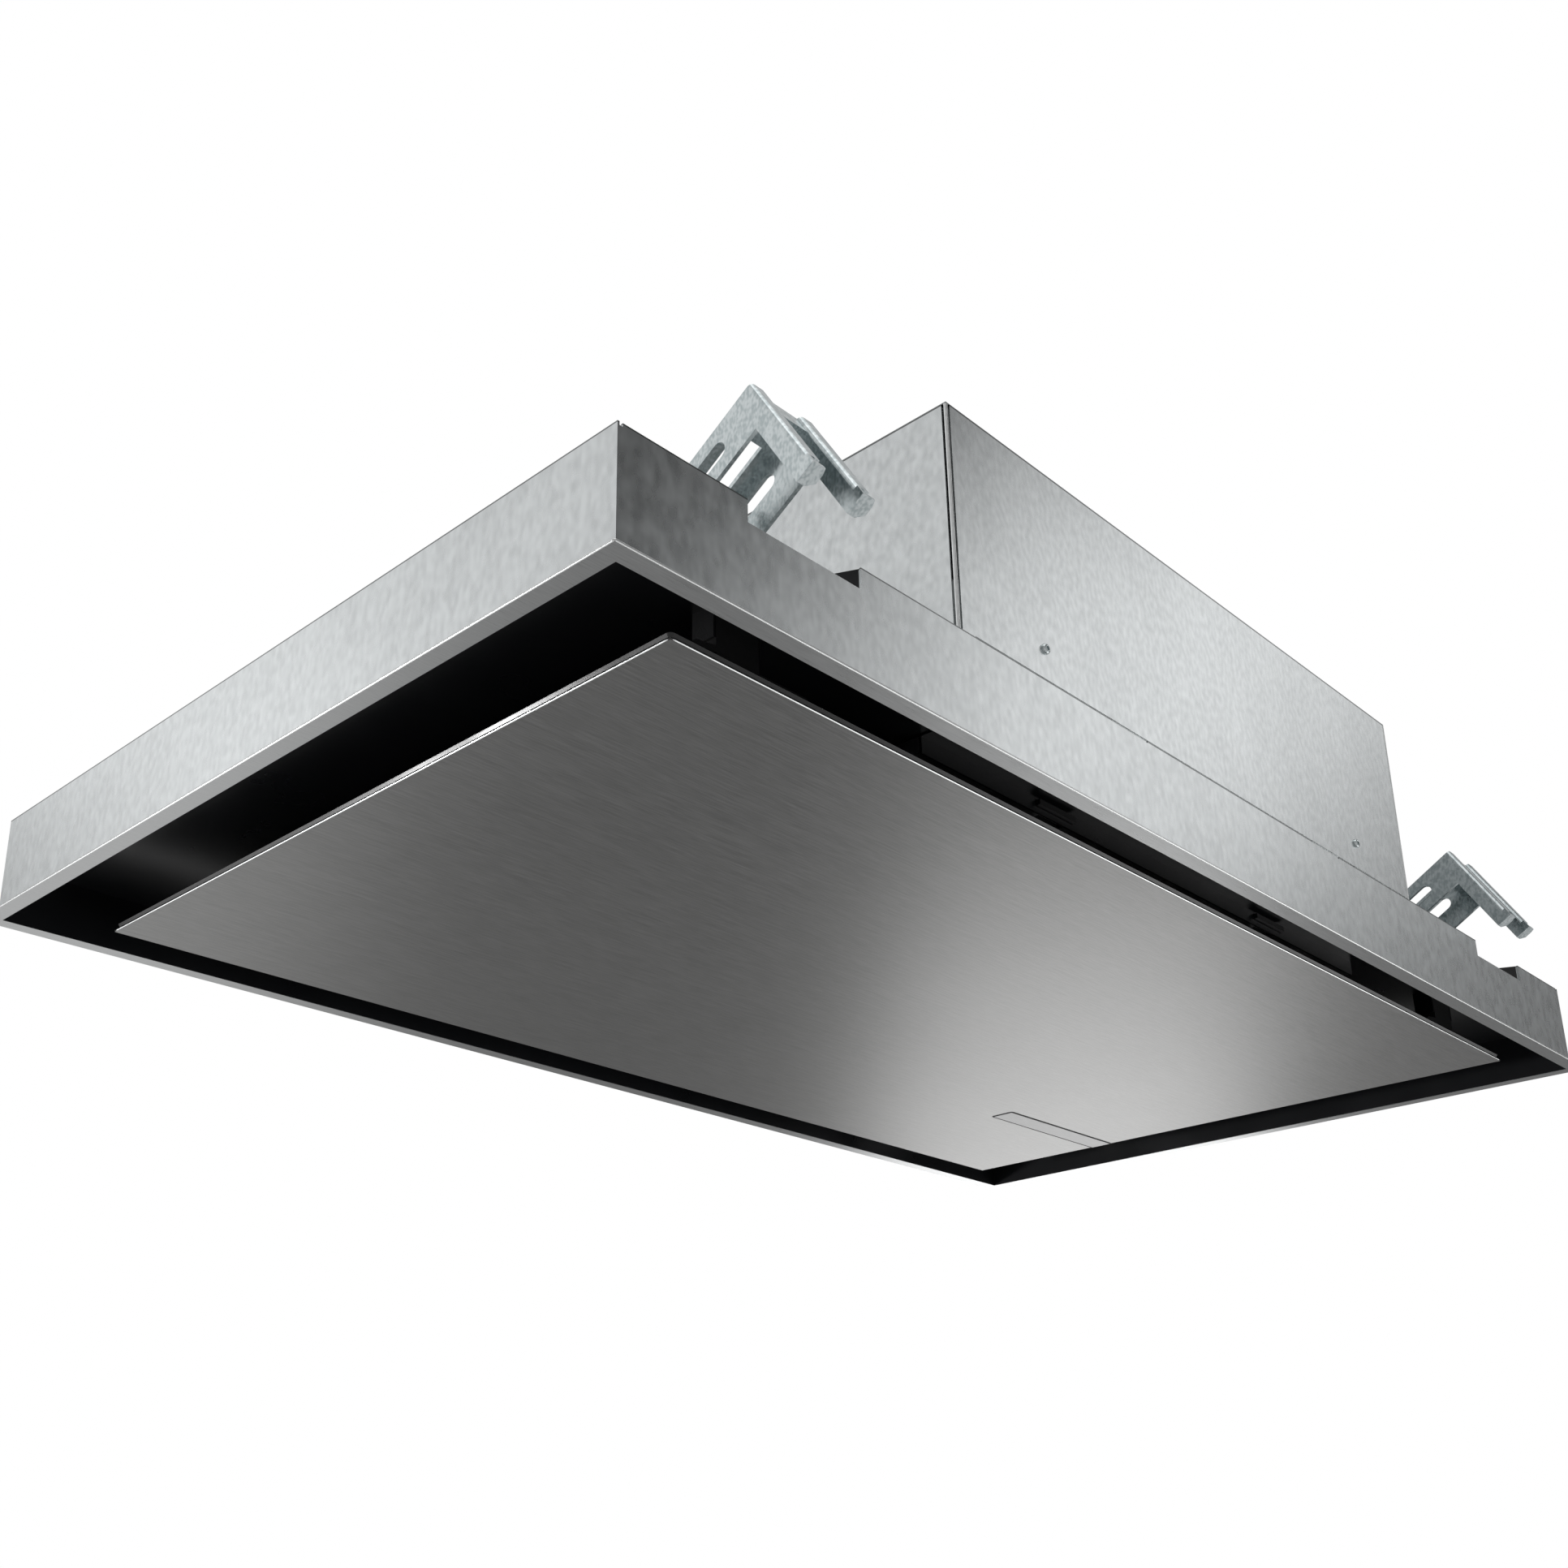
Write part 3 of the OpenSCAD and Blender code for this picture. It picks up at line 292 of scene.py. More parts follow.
def bright_zinc(name, low, high, rough, grain=3.0):
    """Zinc plating on small parts."""
    made, tree, shader, place = material(name)
    total, blotch, flake = mottle(tree, place, grain)
    wire(tree, shader, colour=blend_colour(tree, ramp(tree, total, 0.38, 0.62, True), low, high),
         rough=from_noise(tree, flake, rough - 0.02, rough + 0.04), metal=1.0,
         normal=bump(tree, blotch, 0.03, ZINC_PITS))
    return made


def brushed(name, low, high, rough, aniso=0.65, relief=0.02, coat_and_shade=None):
    """Steel with a grain along X, with a black inner side, partly a coat and partly painted shade, where that
    is given.
    """
    made, tree, shader, place = material(name)
    streak = noise(tree, stretched(tree, place, STREAK_SCALE), 1.0, 3.0, 0.6)
    hair = noise(tree, stretched(tree, place, HAIR_SCALE), 1.0, 2.0)
    clouds = noise(tree, place, 5.0, 2.0)
    total = weighted(tree, (streak, 0.55), (hair, 0.35), (clouds, 0.1))
    colour = blend_colour(tree, ramp(tree, total, 0.38, 0.62), low, high)
    normal = put(tree, "NewGeometry").outputs["Normal"]
    across = put(tree, "VectorMath", {0: normal, 1: GRAIN}, operation="CROSS_PRODUCT").outputs[0]
    across = put(tree, "VectorMath", {0: across, 1: OFF_AXIS}, operation="ADD").outputs[0]
    dull = from_noise(tree, streak, rough - 0.03, rough + 0.03)
    metal = 1.0
    if coat_and_shade is not None:
        colour, dull, metal = coated_and_shaded(tree, place, coat_and_shade, colour, dull)
        relief = math_node(tree, "MULTIPLY", metal, relief)
    wire(tree, shader, colour=colour, rough=dull, metal=metal, aniso=aniso, tangent=across,
         normal=bump(tree, total, relief, GRAIN_DEPTH))
    return made


def enamel(name, colour, rough, relief=0.1):
    """Powder coat or paint with a fine orange peel."""
    made, tree, shader, place = material(name)
    grit = noise(tree, place, 900.0, 2.0)
    dust = noise(tree, place, 30.0, 4.0)
    wire(tree, shader, colour=blend_colour(tree, dust, scaled(colour, 0.8), scaled(colour, 1.25)),
         rough=from_noise(tree, dust, rough - 0.04, rough + 0.06),
         normal=bump(tree, grit, relief, 0.0003))
    return made


def moulded(name, colour, rough):
    """Moulded plastic with a spark-eroded grain."""
    made, tree, shader, place = material(name)
    grit = put(tree, "TexVoronoi", {"Vector": place, "Scale": 1400.0}).outputs[0]
    flow = noise(tree, place, 40.0, 3.0)
    wire(tree, shader, colour=blend_colour(tree, flow, scaled(colour, 0.85), scaled(colour, 1.2)),
         rough=from_noise(tree, flow, rough - 0.03, rough + 0.05),
         normal=bump(tree, grit, 0.12, 0.0002))
    return made


def woven_metal(name, low, high, rough):
    """Expanded aluminium: lines of strands with dark openings between them."""
    made, tree, shader, place = material(name)
    x, y, _ = axes_of(tree, place)
    waves = []
    for lean in (WEAVE_LEAN, -WEAVE_LEAN):
        phase = weighted(tree, (x, WEAVE_SCALE), (y, WEAVE_SCALE * lean))
        waves.append(math_node(tree, "ABSOLUTE", math_node(tree, "SINE", phase)))
    line = math_node(tree, "SUBTRACT", 1.0, math_node(tree, "MINIMUM", *waves))
    grit = noise(tree, place, 400.0, 3.0)
    tone = blend_colour(tree, grit, low, high)
    share = ramp(tree, line, 0.35, 0.65, True)
    wire(tree, shader, colour=blend_colour(tree, share, scaled(low, OPENING_SHADE), tone),
         rough=from_noise(tree, grit, rough - 0.05, rough + 0.08), metal=1.0,
         normal=bump(tree, line, 0.5, WEAVE_DEPTH))
    return made


def cast(name, low, high, rough):
    """Pressed aluminium or spun sheet with a soft grain."""
    made, tree, shader, place = material(name)
    cloud = noise(tree, place, 60.0, 4.0)
    hair = noise(tree, stretched(tree, place, (1500.0, 60.0, 1500.0)), 1.0, 2.0)
    total = weighted(tree, (cloud, 0.6), (hair, 0.4))
    wire(tree, shader, colour=blend_colour(tree, ramp(tree, total, 0.35, 0.65), low, high),
         rough=from_noise(tree, cloud, rough - 0.05, rough + 0.07), metal=1.0,
         normal=bump(tree, total, 0.08, 0.0004))
    return made


# Where a sheet is black on its inner side, partly a coat and partly painted shade of the dark inside: half
# width in X and in Y, lowest and highest place, in metres
FLANGE_COAT_AND_SHADE = (0.4415, 0.2415, 0.0003)
TRAY_COAT_AND_SHADE = (0.42, 0.2415)
DECK_COAT_AND_SHADE = (0.4425, 0.2425, None, 0.0315)
PANEL_COAT_AND_SHADE = (0.3885, 0.2145, 0.0013)

# Between which heights a sheet is darker along its top edge, in metres
TRAY_EDGE = (0.0573, 0.0585)
COVER_EDGE = (0.1862, 0.18765)

# The finish of each material slot: darkest and lightest colour, or one colour, and about its roughness
FINISHES = {
    "flange_sheet": brushed("flange_sheet", (0.62, 0.63, 0.63), (0.72, 0.73, 0.73), 0.30,
                            aniso=0.0, relief=0.01, coat_and_shade=FLANGE_COAT_AND_SHADE),
    "tray_sheet": galvanised("tray_sheet", (0.55, 0.57, 0.575), (0.675, 0.70, 0.705), 0.28,
                             coat_and_shade=TRAY_COAT_AND_SHADE, edge=TRAY_EDGE),
    "dark_sheet": galvanised("dark_sheet", (0.46, 0.475, 0.475), (0.58, 0.60, 0.60), 0.28, coat_and_shade=DECK_COAT_AND_SHADE),
    "box_sheet": galvanised("box_sheet", (0.53, 0.55, 0.555), (0.68, 0.705, 0.71), 0.27, edge=COVER_EDGE),
    "corner_bead": bright_zinc("corner_bead", (0.72, 0.735, 0.735), (0.80, 0.815, 0.815), 0.20, grain=2.0),
    "bright_zinc": bright_zinc("bright_zinc", (0.50, 0.545, 0.55), (0.66, 0.70, 0.71), 0.22),
    "clamp_zinc": bright_zinc("clamp_zinc", (0.44, 0.495, 0.505), (0.64, 0.69, 0.70), 0.22, grain=2.2),
    "collar_sheet": galvanised("collar_sheet", (0.52, 0.54, 0.54), (0.62, 0.64, 0.64), 0.30),
    "flap_plastic": moulded("flap_plastic", (0.10, 0.105, 0.11), 0.42),
    "scroll_sheet": moulded("scroll_sheet", (0.05, 0.053, 0.055), 0.45),
    "black_rubber": moulded("black_rubber", (0.02, 0.02, 0.02), 0.7),
    "black_plastic": moulded("black_plastic", (0.018, 0.018, 0.019), 0.38),
    "motor_paint": enamel("motor_paint", (0.07, 0.072, 0.075), 0.42),
    "spider_sheet": galvanised("spider_sheet", (0.50, 0.51, 0.51), (0.6, 0.62, 0.62), 0.34, grain=2.0),
    "wheel_sheet": cast("wheel_sheet", (0.50, 0.51, 0.52), (0.60, 0.61, 0.62), 0.32),
    "filter_frame": cast("filter_frame", (0.30, 0.305, 0.31), (0.38, 0.385, 0.39), 0.36),
    "filter_mesh": woven_metal("filter_mesh", (0.58, 0.59, 0.60), (0.74, 0.75, 0.76), 0.32),
    "brushed_panel": brushed("brushed_panel", (0.355, 0.355, 0.35), (0.475, 0.475, 0.47), 0.36,
                             relief=0.015, coat_and_shade=PANEL_COAT_AND_SHADE),
    "panel_black": enamel("panel_black", (0.012, 0.012, 0.013), 0.22, relief=0.015),
    "badge_bare": brushed("badge_bare", (0.18, 0.18, 0.18), (0.23, 0.23, 0.23), 0.30),
}

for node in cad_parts.values():
    for i, old in enumerate(node.data.materials):
        node.data.materials[i] = FINISHES[old.name.split(".")[0]]


# Rounded edges of CAD nodes: the width of each in millimetres

EDGE_STEPS = 3
EDGES = {"panel_skin": 0.4, "badge_strip": 0.2}
for side in ("left", "right", "front", "back"):
    EDGES["flange_" + side] = 0.48
for corner in ("front_left", "front_right", "back_left", "back_right"):
    EDGES["clamp_" + corner] = 0.35

for name, width in EDGES.items():
    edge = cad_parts[name].modifiers.new("edge", "BEVEL")
    edge.width = width * MM
    edge.segments = EDGE_STEPS
    edge.limit_method = "ANGLE"


# Pieces. All their sizes are millimetres

# Flange, suction panel and bare plate: half sizes, and the radius of a corner
FLANGE_X, FLANGE_Y = 450.0, 250.0
FLANGE_CORNER = 0.9
PANEL_X, PANEL_Y = 390.0, 216.0
PANEL_CORNER = 2.6
SHARPEST_CORNER = 0.05
BADGE_X, BADGE_Y = 65.1, 8.0
BADGE_CENTRE = (324.1, 100.0)
BADGE_CORNER = 0.6
BEAD_R = 0.8
BEAD_STEP = 18
HEM_AT = (0.35, 1.2)
NOSE_AT = (0.45, 0.86)
BUFFER_X, BUFFER_Y, BUFFER_Z = 368.0, 178.0, 2.2

# Screw heads: radius and height of the head, radius of the socket's corners
BOX_SCREW_HEAD = (2.75, 1.8, 1.35)
COVER_SCREW_HEAD = (3.0, 1.7, 1.4)
COLLAR_SCREW_HEAD = (2.9, 1.7, 1.35)
HEAD_SIDES = 36

# Motor box: panel screws, top cover, outlet collar and cable gland
BOX_FACE_Y = 235.6
BOX_SCREW_X, BOX_SCREW_Z = 160.7, 82.4
COVER_Z = 187.7
COVER_SCREWS = ((-205, -215), (205, -215), (-205, 215), (205, 215),
                (0, -215), (0, 215), (-213, 0), (213, -110))
COVER_BEADS = ((170.0, 175.0), (120.0, 125.0))
COVER_BEAD_CORNER = 22.0
COLLAR_ROOT = (229.3, 4.806, 109.95)
COLLAR_SIDES = 96
COLLAR_SCREW_MID = (230.3, 4.8, 109.95)
COLLAR_SCREW_Y, COLLAR_SCREW_Z = 74.5, 66.0
GLAND_X, GLAND_Z = -150.0, 150.0
GLAND_INNER_Y = 234.8
GLAND_SIDES = 48
GLAND_RIBS = 16
GLAND_RIB_DEPTH = 0.07

# Clamps: rods and nuts. The thread's depth counts in pitches. Near its ends a rod narrows towards a share
# of its radius, and stops short of that by a part of the way
ROD_X, ROD_Y, ROD_LOW_Z = 340.5, 192.0, 26.0
ROD_LENGTH = 81.0
ROD_R = 2.5
THREAD_PITCH = 0.9
THREAD_DEPTH = 0.558
NARROW_SHARE = 0.86
NARROW_STOP = 0.25
THREAD_SIDES = 14
THREAD_ROWS = 4
NUT_LOW_Z = 46.0

# Hinges: each pin's middle, and how far its clips and caps sit to the sides
HINGE_X, HINGE_Y, HINGE_Z = 290.0, 206.0, 12.0
HINGE_CLIP_X = 6.95
HINGE_CAP_X = 7.7

# Grease filters: openings, lattices, rivets and the ribs of the latches
FILTER_MID = 107.5
FILTER_OPEN_X = 92.2
FILTER_OPEN_Y = (-168.2, 184.2)
LATTICE_Z = 22.75
LATTICE_LAYER = 0.18
LATTICE_SLOPE = 0.55
LATTICE_PITCH = 7.0
STRAND_HALF_W = 0.55
STRAND_HALF_T = 0.15
SHORTEST_SHARE = 0.01
RIVET_X, RIVET_Z = 98.0, 22.4
RIVET_YS = (-183.0, 190.0)
RIB_COUNT = 5
RIB_PITCH = 3.4
RIB_HALF_W = 0.6
RIB_YS = (-194.0, -188.0)
RIB_ZS = (19.0, 19.45)


def finish_mesh(mesh, name, slot, body, smooth=35.0, hides=()):
    """Makes the mesh a piece on its body, smooth up to an angle, in place of the nodes that it hides."""
    data = bpy.data.meshes.new(name)
    mesh.to_mesh(data)
    mesh.free()
    made = bpy.data.objects.new(name, data)
    bpy.context.scene.collection.objects.link(made)
    data.materials.append(FINISHES[slot])
    for face in data.polygons:
        face.use_smooth = smooth > 0
    if smooth > 0:
        data.set_sharp_from_angle(angle=math.radians(smooth))
    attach(made, body)
    if hides:
        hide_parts(*hides)


def frame_at(origin, axis, spin=0.0):
    """A matrix whose Z looks along axis, at origin in millimetres."""
    z = Vector(axis).normalized()
    x = (Vector((0, 0, 1)) if abs(z.z) < 0.9 else Vector((1, 0, 0))).cross(z).normalized()
    turn = Matrix((x, z.cross(x), z)).transposed().to_4x4()
    return Matrix.Translation(Vector(origin) * MM) @ turn @ Matrix.Rotation(math.radians(spin), 4, "Z")


def join_rings(mesh, low, high):
    """Faces between two rings of points. A ring of one point closes an end."""
    count = max(len(low), len(high))
    for i in range(count):
        j = (i + 1) % count
        if len(low) == 1:
            mesh.faces.new((low[0], high[j], high[i]))
        elif len(high) == 1:
            mesh.faces.new((low[i], low[j], high[0]))
        else:
            mesh.faces.new((low[i], low[j], high[j], high[i]))


def lathe(mesh, place, profile, count, shape=None):
    """Turns (radius, height) pairs in millimetres round the place's Z; shape(angle, row) scales a radius."""
    rings = []
    for row, (radius, height) in enumerate(profile):
        if radius == 0.0:
            rings.append([mesh.verts.new(place @ Vector((0, 0, height * MM)))])
            continue
        ring = []
        for i in range(count):
            angle = 2 * math.pi * i / count
            r = radius * (shape(angle, row) if shape else 1.0) * MM
            point = Vector((r * math.cos(angle), r * math.sin(angle), height * MM))
            ring.append(mesh.verts.new(place @ point))
        rings.append(ring)
    for low, high in zip(rings, rings[1:]):
        join_rings(mesh, low, high)


def hexagon(rows):
    """A radius rule that makes the given rows six-sided, the radius being the corner's."""
    def rule(angle, row):
        if row not in rows:
            return 1.0
        part = (angle + math.pi / 6) % (math.pi / 3) - math.pi / 6
        return math.cos(math.pi / 6) / math.cos(part)
    return rule


def ribbed(rows, count, depth):
    """A radius rule that gives the given rows ribs, their depth in radii."""
    def rule(angle, row):
        if row not in rows:
            return 1.0
        return 1.0 - depth * (0.5 + 0.5 * math.cos(count * angle))
    return rule


def around(mesh, half_x, half_y, profile, corner, steps=5, centre=(0.0, 0.0)):
    """Sweeps a closed profile of (inset, height) round a rectangle with rounded corners."""
    loops = []
    for inset, height in profile:
        loop = []
        r = max(corner - inset, SHARPEST_CORNER)
        for quarter, (sx, sy) in enumerate(((1, 1), (-1, 1), (-1, -1), (1, -1))):
            cx = centre[0] + sx * (half_x - inset - r)
            cy = centre[1] + sy * (half_y - inset - r)
            for i in range(steps + 1):
                angle = math.radians(90 * quarter + 90 * i / steps)
                point = Vector((cx + r * math.cos(angle), cy + r * math.sin(angle), height))
                loop.append(mesh.verts.new(point * MM))
        loops.append(loop)
    for k, low in enumerate(loops):
        join_rings(mesh, low, loops[(k + 1) % len(loops)])


def bead(inset, height):
    """A round profile for around(), its middle at an inset and a height."""
    profile = []
    for degrees in range(0, 360, BEAD_STEP):
        angle = math.radians(degrees)
        profile.append((inset + BEAD_R * math.cos(angle), height - BEAD_R * math.sin(angle)))
    return profile


def strand(mesh, a, b, half_w, low, high):
    """A flat strip between two points of the plan."""
    a = Vector((*a, 0))
    b = Vector((*b, 0))
    side = (b - a).normalized().cross(Vector((0, 0, 1))) * half_w
    ring = []
    for z in (low, high):
        for p in (a - side, b - side, b + side, a + side):
            ring.append(mesh.verts.new(Vector((p.x, p.y, z)) * MM))
    for face in ((3, 2, 1, 0), (4, 5, 6, 7), (0, 1, 5, 4), (1, 2, 6, 5), (2, 3, 7, 6), (3, 0, 4, 7)):
        mesh.faces.new([ring[i] for i in face])


def pan_screw(mesh, origin, axis, size, spin):
    """A domed head with its seat at origin and a hexagon socket turned by spin."""
    head, height, key = size
    profile = [(0.0, height - 1.25), (key * 0.98, height - 1.2), (key, height - 0.12),
               (key * 1.12, height), (head * 0.62, height), (head * 0.84, height * 0.8),
               (head * 0.97, height * 0.42), (head, 0.12), (head * 0.98, 0.0), (0.0, 0.0)]
    lathe(mesh, frame_at(origin, axis, spin), profile, HEAD_SIDES, hexagon((1, 2, 3)))


def threaded(mesh, place, radius, length, pitch):
    """A rod with a helical thread, from 0 to length along the place's Z, a little thinner at its ends."""
    rows = int(length / pitch * THREAD_ROWS)
    rings = []
    for row in range(rows + 1):
        height = length * row / rows
        full = min(1.0, min(height, length - height) / pitch + NARROW_STOP)
        ring = []
        for i in range(THREAD_SIDES):
            share = (height / pitch - i / THREAD_SIDES) % 1.0
            depth = THREAD_DEPTH * pitch * abs(share - 0.5) * 2.0
            r = (radius - depth) * (NARROW_SHARE + (1.0 - NARROW_SHARE) * full) * MM
            angle = 2 * math.pi * i / THREAD_SIDES
            point = Vector((r * math.cos(angle), r * math.sin(angle), height * MM))
            ring.append(mesh.verts.new(place @ point))
        rings.append(ring)
    for low, high in zip(rings, rings[1:]):
        join_rings(mesh, low, high)
    mesh.faces.new(rings[0][::-1])
    mesh.faces.new(rings[-1])


def box_screw_heads():
    """The panel screws of the motor box, each with its shank."""
    mesh = bmesh.new()
    shank = [(0.0, 0.0), (1.9, 0.0), (1.9, 6.4), (1.4, 7.0), (0.0, 7.0)]
    for x in (-BOX_SCREW_X, BOX_SCREW_X):
        for side in SIDES:
            seat = (x, side * BOX_FACE_Y, BOX_SCREW_Z)
            pan_screw(mesh, seat, (0, side, 0), BOX_SCREW_HEAD, 12.0 * x)
            lathe(mesh, frame_at(seat, (0, -side, 0)), shank, 20)
    finish_mesh(mesh, "box_screw_heads", "bright_zinc", "housing", hides=("box_screws",))


def clamp_fasteners():
    """The threaded rod of each clamp and the nut on it."""
    rods = bmesh.new()
    nuts = bmesh.new()
    nut = [(2.35, 0.0), (3.3, 0.0), (4.5, 0.35), (4.5, 3.65), (3.3, 4.0), (2.35, 4.0)]
    for x in (-ROD_X, ROD_X):
        for y in (-ROD_Y, ROD_Y):
            threaded(rods, frame_at((x, y, ROD_LOW_Z), (0, 0, 1)), ROD_R, ROD_LENGTH, THREAD_PITCH)
            lathe(nuts, frame_at((x, y, NUT_LOW_Z), (0, 0, 1), 30.0), nut, 36, hexagon((2, 3)))
    finish_mesh(rods, "clamp_rod_threads", "bright_zinc", "housing", 50.0, hides=("clamp_rods",))
    finish_mesh(nuts, "clamp_hex_nuts", "bright_zinc", "housing", 25.0, hides=("clamp_nuts",))


def panel_rim():
    """The black frame behind the skin, with its raised rim."""
    mesh = bmesh.new()
    profile = [(1.9, 1.42), (1.55, 2.05), (0.45, 4.1), (0.3, 4.35), (0.4, 4.55), (0.65, 4.6), (1.1, 4.5),
               (1.35, 4.1), (2.4, 2.2), (40.0, 2.2), (40.0, 1.42)]
    around(mesh, PANEL_X, PANEL_Y, profile, PANEL_CORNER)
    finish_mesh(mesh, "panel_rim", "panel_black", "panel", 30.0, hides=("panel_inner_frame",))


def panel_hem():
    """The skin's edge turned over to a round bead."""
    mesh = bmesh.new()
    around(mesh, PANEL_X, PANEL_Y, bead(*HEM_AT), PANEL_CORNER)
    finish_mesh(mesh, "panel_hem", "corner_bead", "panel", 60.0)


def flange_nose():
    """The flange's outer edge rolled to a round nose."""
    mesh = bmesh.new()
    around(mesh, FLANGE_X, FLANGE_Y, bead(*NOSE_AT), FLANGE_CORNER)
    finish_mesh(mesh, "flange_nose", "flange_sheet", "housing", 60.0)


def badge_shadow_strip():
    """A black strip round the bare plate: a painted shadow line along the plate's edges."""
    mesh = bmesh.new()
    profile = [(-1.7, 0.42), (-1.4, 0.2), (-0.2, 0.12), (0.05, 0.2), (0.05, 0.7), (-1.7, 0.7)]
    around(mesh, BADGE_X, BADGE_Y, profile, BADGE_CORNER, 4, BADGE_CENTRE)
    finish_mesh(mesh, "badge_shadow_strip", "black_rubber", "panel", 30.0)


def panel_buffers():
    """Rubber feet on the panel's back, near its corners."""
    mesh = bmesh.new()
    profile = [(0.0, 0.0), (5.2, 0.0), (5.0, 0.5), (4.2, 2.2), (2.6, 3.0), (0.0, 3.2)]
    for x in (-BUFFER_X, BUFFER_X):
        for y in (-BUFFER_Y, BUFFER_Y):
            lathe(mesh, frame_at((x, y, BUFFER_Z), (0, 0, 1)), profile, 24)
    finish_mesh(mesh, "panel_buffers", "black_rubber", "panel")


def cover_and_collar_screws():
    mesh = bmesh.new()
    for x, y in COVER_SCREWS:
        pan_screw(mesh, (x, y, COVER_Z), (0, 0, 1), COVER_SCREW_HEAD, x + y)
    x, mid_y, mid_z = COLLAR_SCREW_MID
    for sy in SIDES:
        for sz in SIDES:
            seat = (x, mid_y + sy * COLLAR_SCREW_Y, mid_z + sz * COLLAR_SCREW_Z)
            pan_screw(mesh, seat, (1, 0, 0), COLLAR_SCREW_HEAD, 15.0 * sz)
    finish_mesh(mesh, "cover_and_collar_screws", "bright_zinc", "housing")


def cover_beads():
    """Pressed ridges in the top cover."""
    mesh = bmesh.new()
    profile = [(0.0, 187.65), (1.2, 188.2), (3.0, 188.7), (4.5, 188.85), (6.0, 188.7), (7.8, 188.2),
               (9.0, 187.65)]
    for half_x, half_y in COVER_BEADS:
        around(mesh, half_x, half_y, profile, COVER_BEAD_CORNER, 8)
    finish_mesh(mesh, "cover_beads", "box_sheet", "housing", 60.0)


def collar_lip():
    """The collar's rolled mouth and the fillet at its root."""
    mesh = bmesh.new()
    place = frame_at(COLLAR_ROOT, (1, 0, 0))
    mouth = [(74.0, 53.0), (75.0, 53.0), (75.35, 53.4), (75.35, 54.0), (75.0, 54.4), (74.3, 54.4),
             (74.0, 54.0), (74.0, 53.0)]
    root = [(75.0, 1.0), (76.4, 1.02), (75.6, 1.5), (75.02, 2.6)]
    lathe(mesh, place, mouth, COLLAR_SIDES)
    lathe(mesh, place, root, COLLAR_SIDES)
    finish_mesh(mesh, "collar_lip", "collar_sheet", "housing")


def gland_nuts():
    """The cable gland: nut and ribbed cap outside, nut inside, and the bore through them."""
    mesh = bmesh.new()
    outer = frame_at((GLAND_X, BOX_FACE_Y, GLAND_Z), (0, 1, 0))
    inner = frame_at((GLAND_X, GLAND_INNER_Y, GLAND_Z), (0, -1, 0))
    nut = [(7.0, 0.0), (9.2, 0.0), (10.0, 0.5), (10.0, 3.5), (9.2, 4.0), (7.0, 4.0)]
    cap = [(7.0, 4.0), (8.8, 4.05), (9.2, 4.6), (9.0, 8.0), (7.6, 10.2), (5.4, 11.0), (4.2, 11.0), (4.1, 2.0)]
    lock_nut = [(4.1, 4.0), (9.2, 4.0), (10.0, 3.5), (10.0, 0.5), (9.2, 0.0), (7.0, 0.0), (7.0, -0.9)]
    bore = [(4.1, 4.0), (4.1, -12.0)]
    lathe(mesh, outer, nut, GLAND_SIDES, hexagon((2, 3)))
    lathe(mesh, outer, cap, GLAND_SIDES * 2, ribbed((2, 3), GLAND_RIBS, GLAND_RIB_DEPTH))
    lathe(mesh, inner, lock_nut, GLAND_SIDES, hexagon((2, 3)))
    lathe(mesh, inner, bore, GLAND_SIDES)
    finish_mesh(mesh, "gland_nuts", "black_plastic", "housing", 30.0, hides=("cable_gland",))


def filter_lattice(name, mid):
    """Expanded metal under the corrugated mesh: strands at two leans, clipped to the frame's opening."""
    mesh = bmesh.new()
    x0, x1 = mid - FILTER_OPEN_X, mid + FILTER_OPEN_X
    y0, y1 = FILTER_OPEN_Y
    rise = LATTICE_SLOPE * (x1 - x0)
    count = math.ceil((y1 - y0 + 2 * rise) / LATTICE_PITCH)
    for lean in SIDES:
        level = LATTICE_Z + LATTICE_LAYER * lean
        for step in range(count):
            base = y0 - rise + step * LATTICE_PITCH
            ya, yb = (base, base + rise) if lean > 0 else (base + rise, base)
            low, high = sorted(((y0 - ya) / (yb - ya), (y1 - ya) / (yb - ya)))
            start = max(0.0, low)
            stop = min(1.0, high)
            if stop - start > SHORTEST_SHARE:
                ends = [(x0 + (x1 - x0) * t, ya + (yb - ya) * t) for t in (start, stop)]
                strand(mesh, *ends, STRAND_HALF_W, level - STRAND_HALF_T, level + STRAND_HALF_T)
    finish_mesh(mesh, name, "filter_frame", "housing", 0.0)


def filter_rivets():
    mesh = bmesh.new()
    profile = [(0.0, 0.0), (2.6, 0.0), (2.4, 0.45), (1.7, 0.85), (0.8, 1.0), (0.0, 0.95)]
    for mid in (-FILTER_MID, FILTER_MID):
        for side in SIDES:
            for y in RIVET_YS:
                lathe(mesh, frame_at((mid + side * RIVET_X, y, RIVET_Z), (0, 0, -1)), profile, 20)
    finish_mesh(mesh, "filter_rivets", "filter_frame", "housing")


def latch_ribs():
    """Finger ribs under each latch."""
    for side, body in ((-1, "left_latch"), (1, "right_latch")):
        mesh = bmesh.new()
        for k in range(RIB_COUNT):
            x = side * FILTER_MID + (k - RIB_COUNT // 2) * RIB_PITCH
            strand(mesh, (x, RIB_YS[0]), (x, RIB_YS[1]), RIB_HALF_W, *RIB_ZS)
        finish_mesh(mesh, body + "_ribs", "black_plastic", body, 0.0)


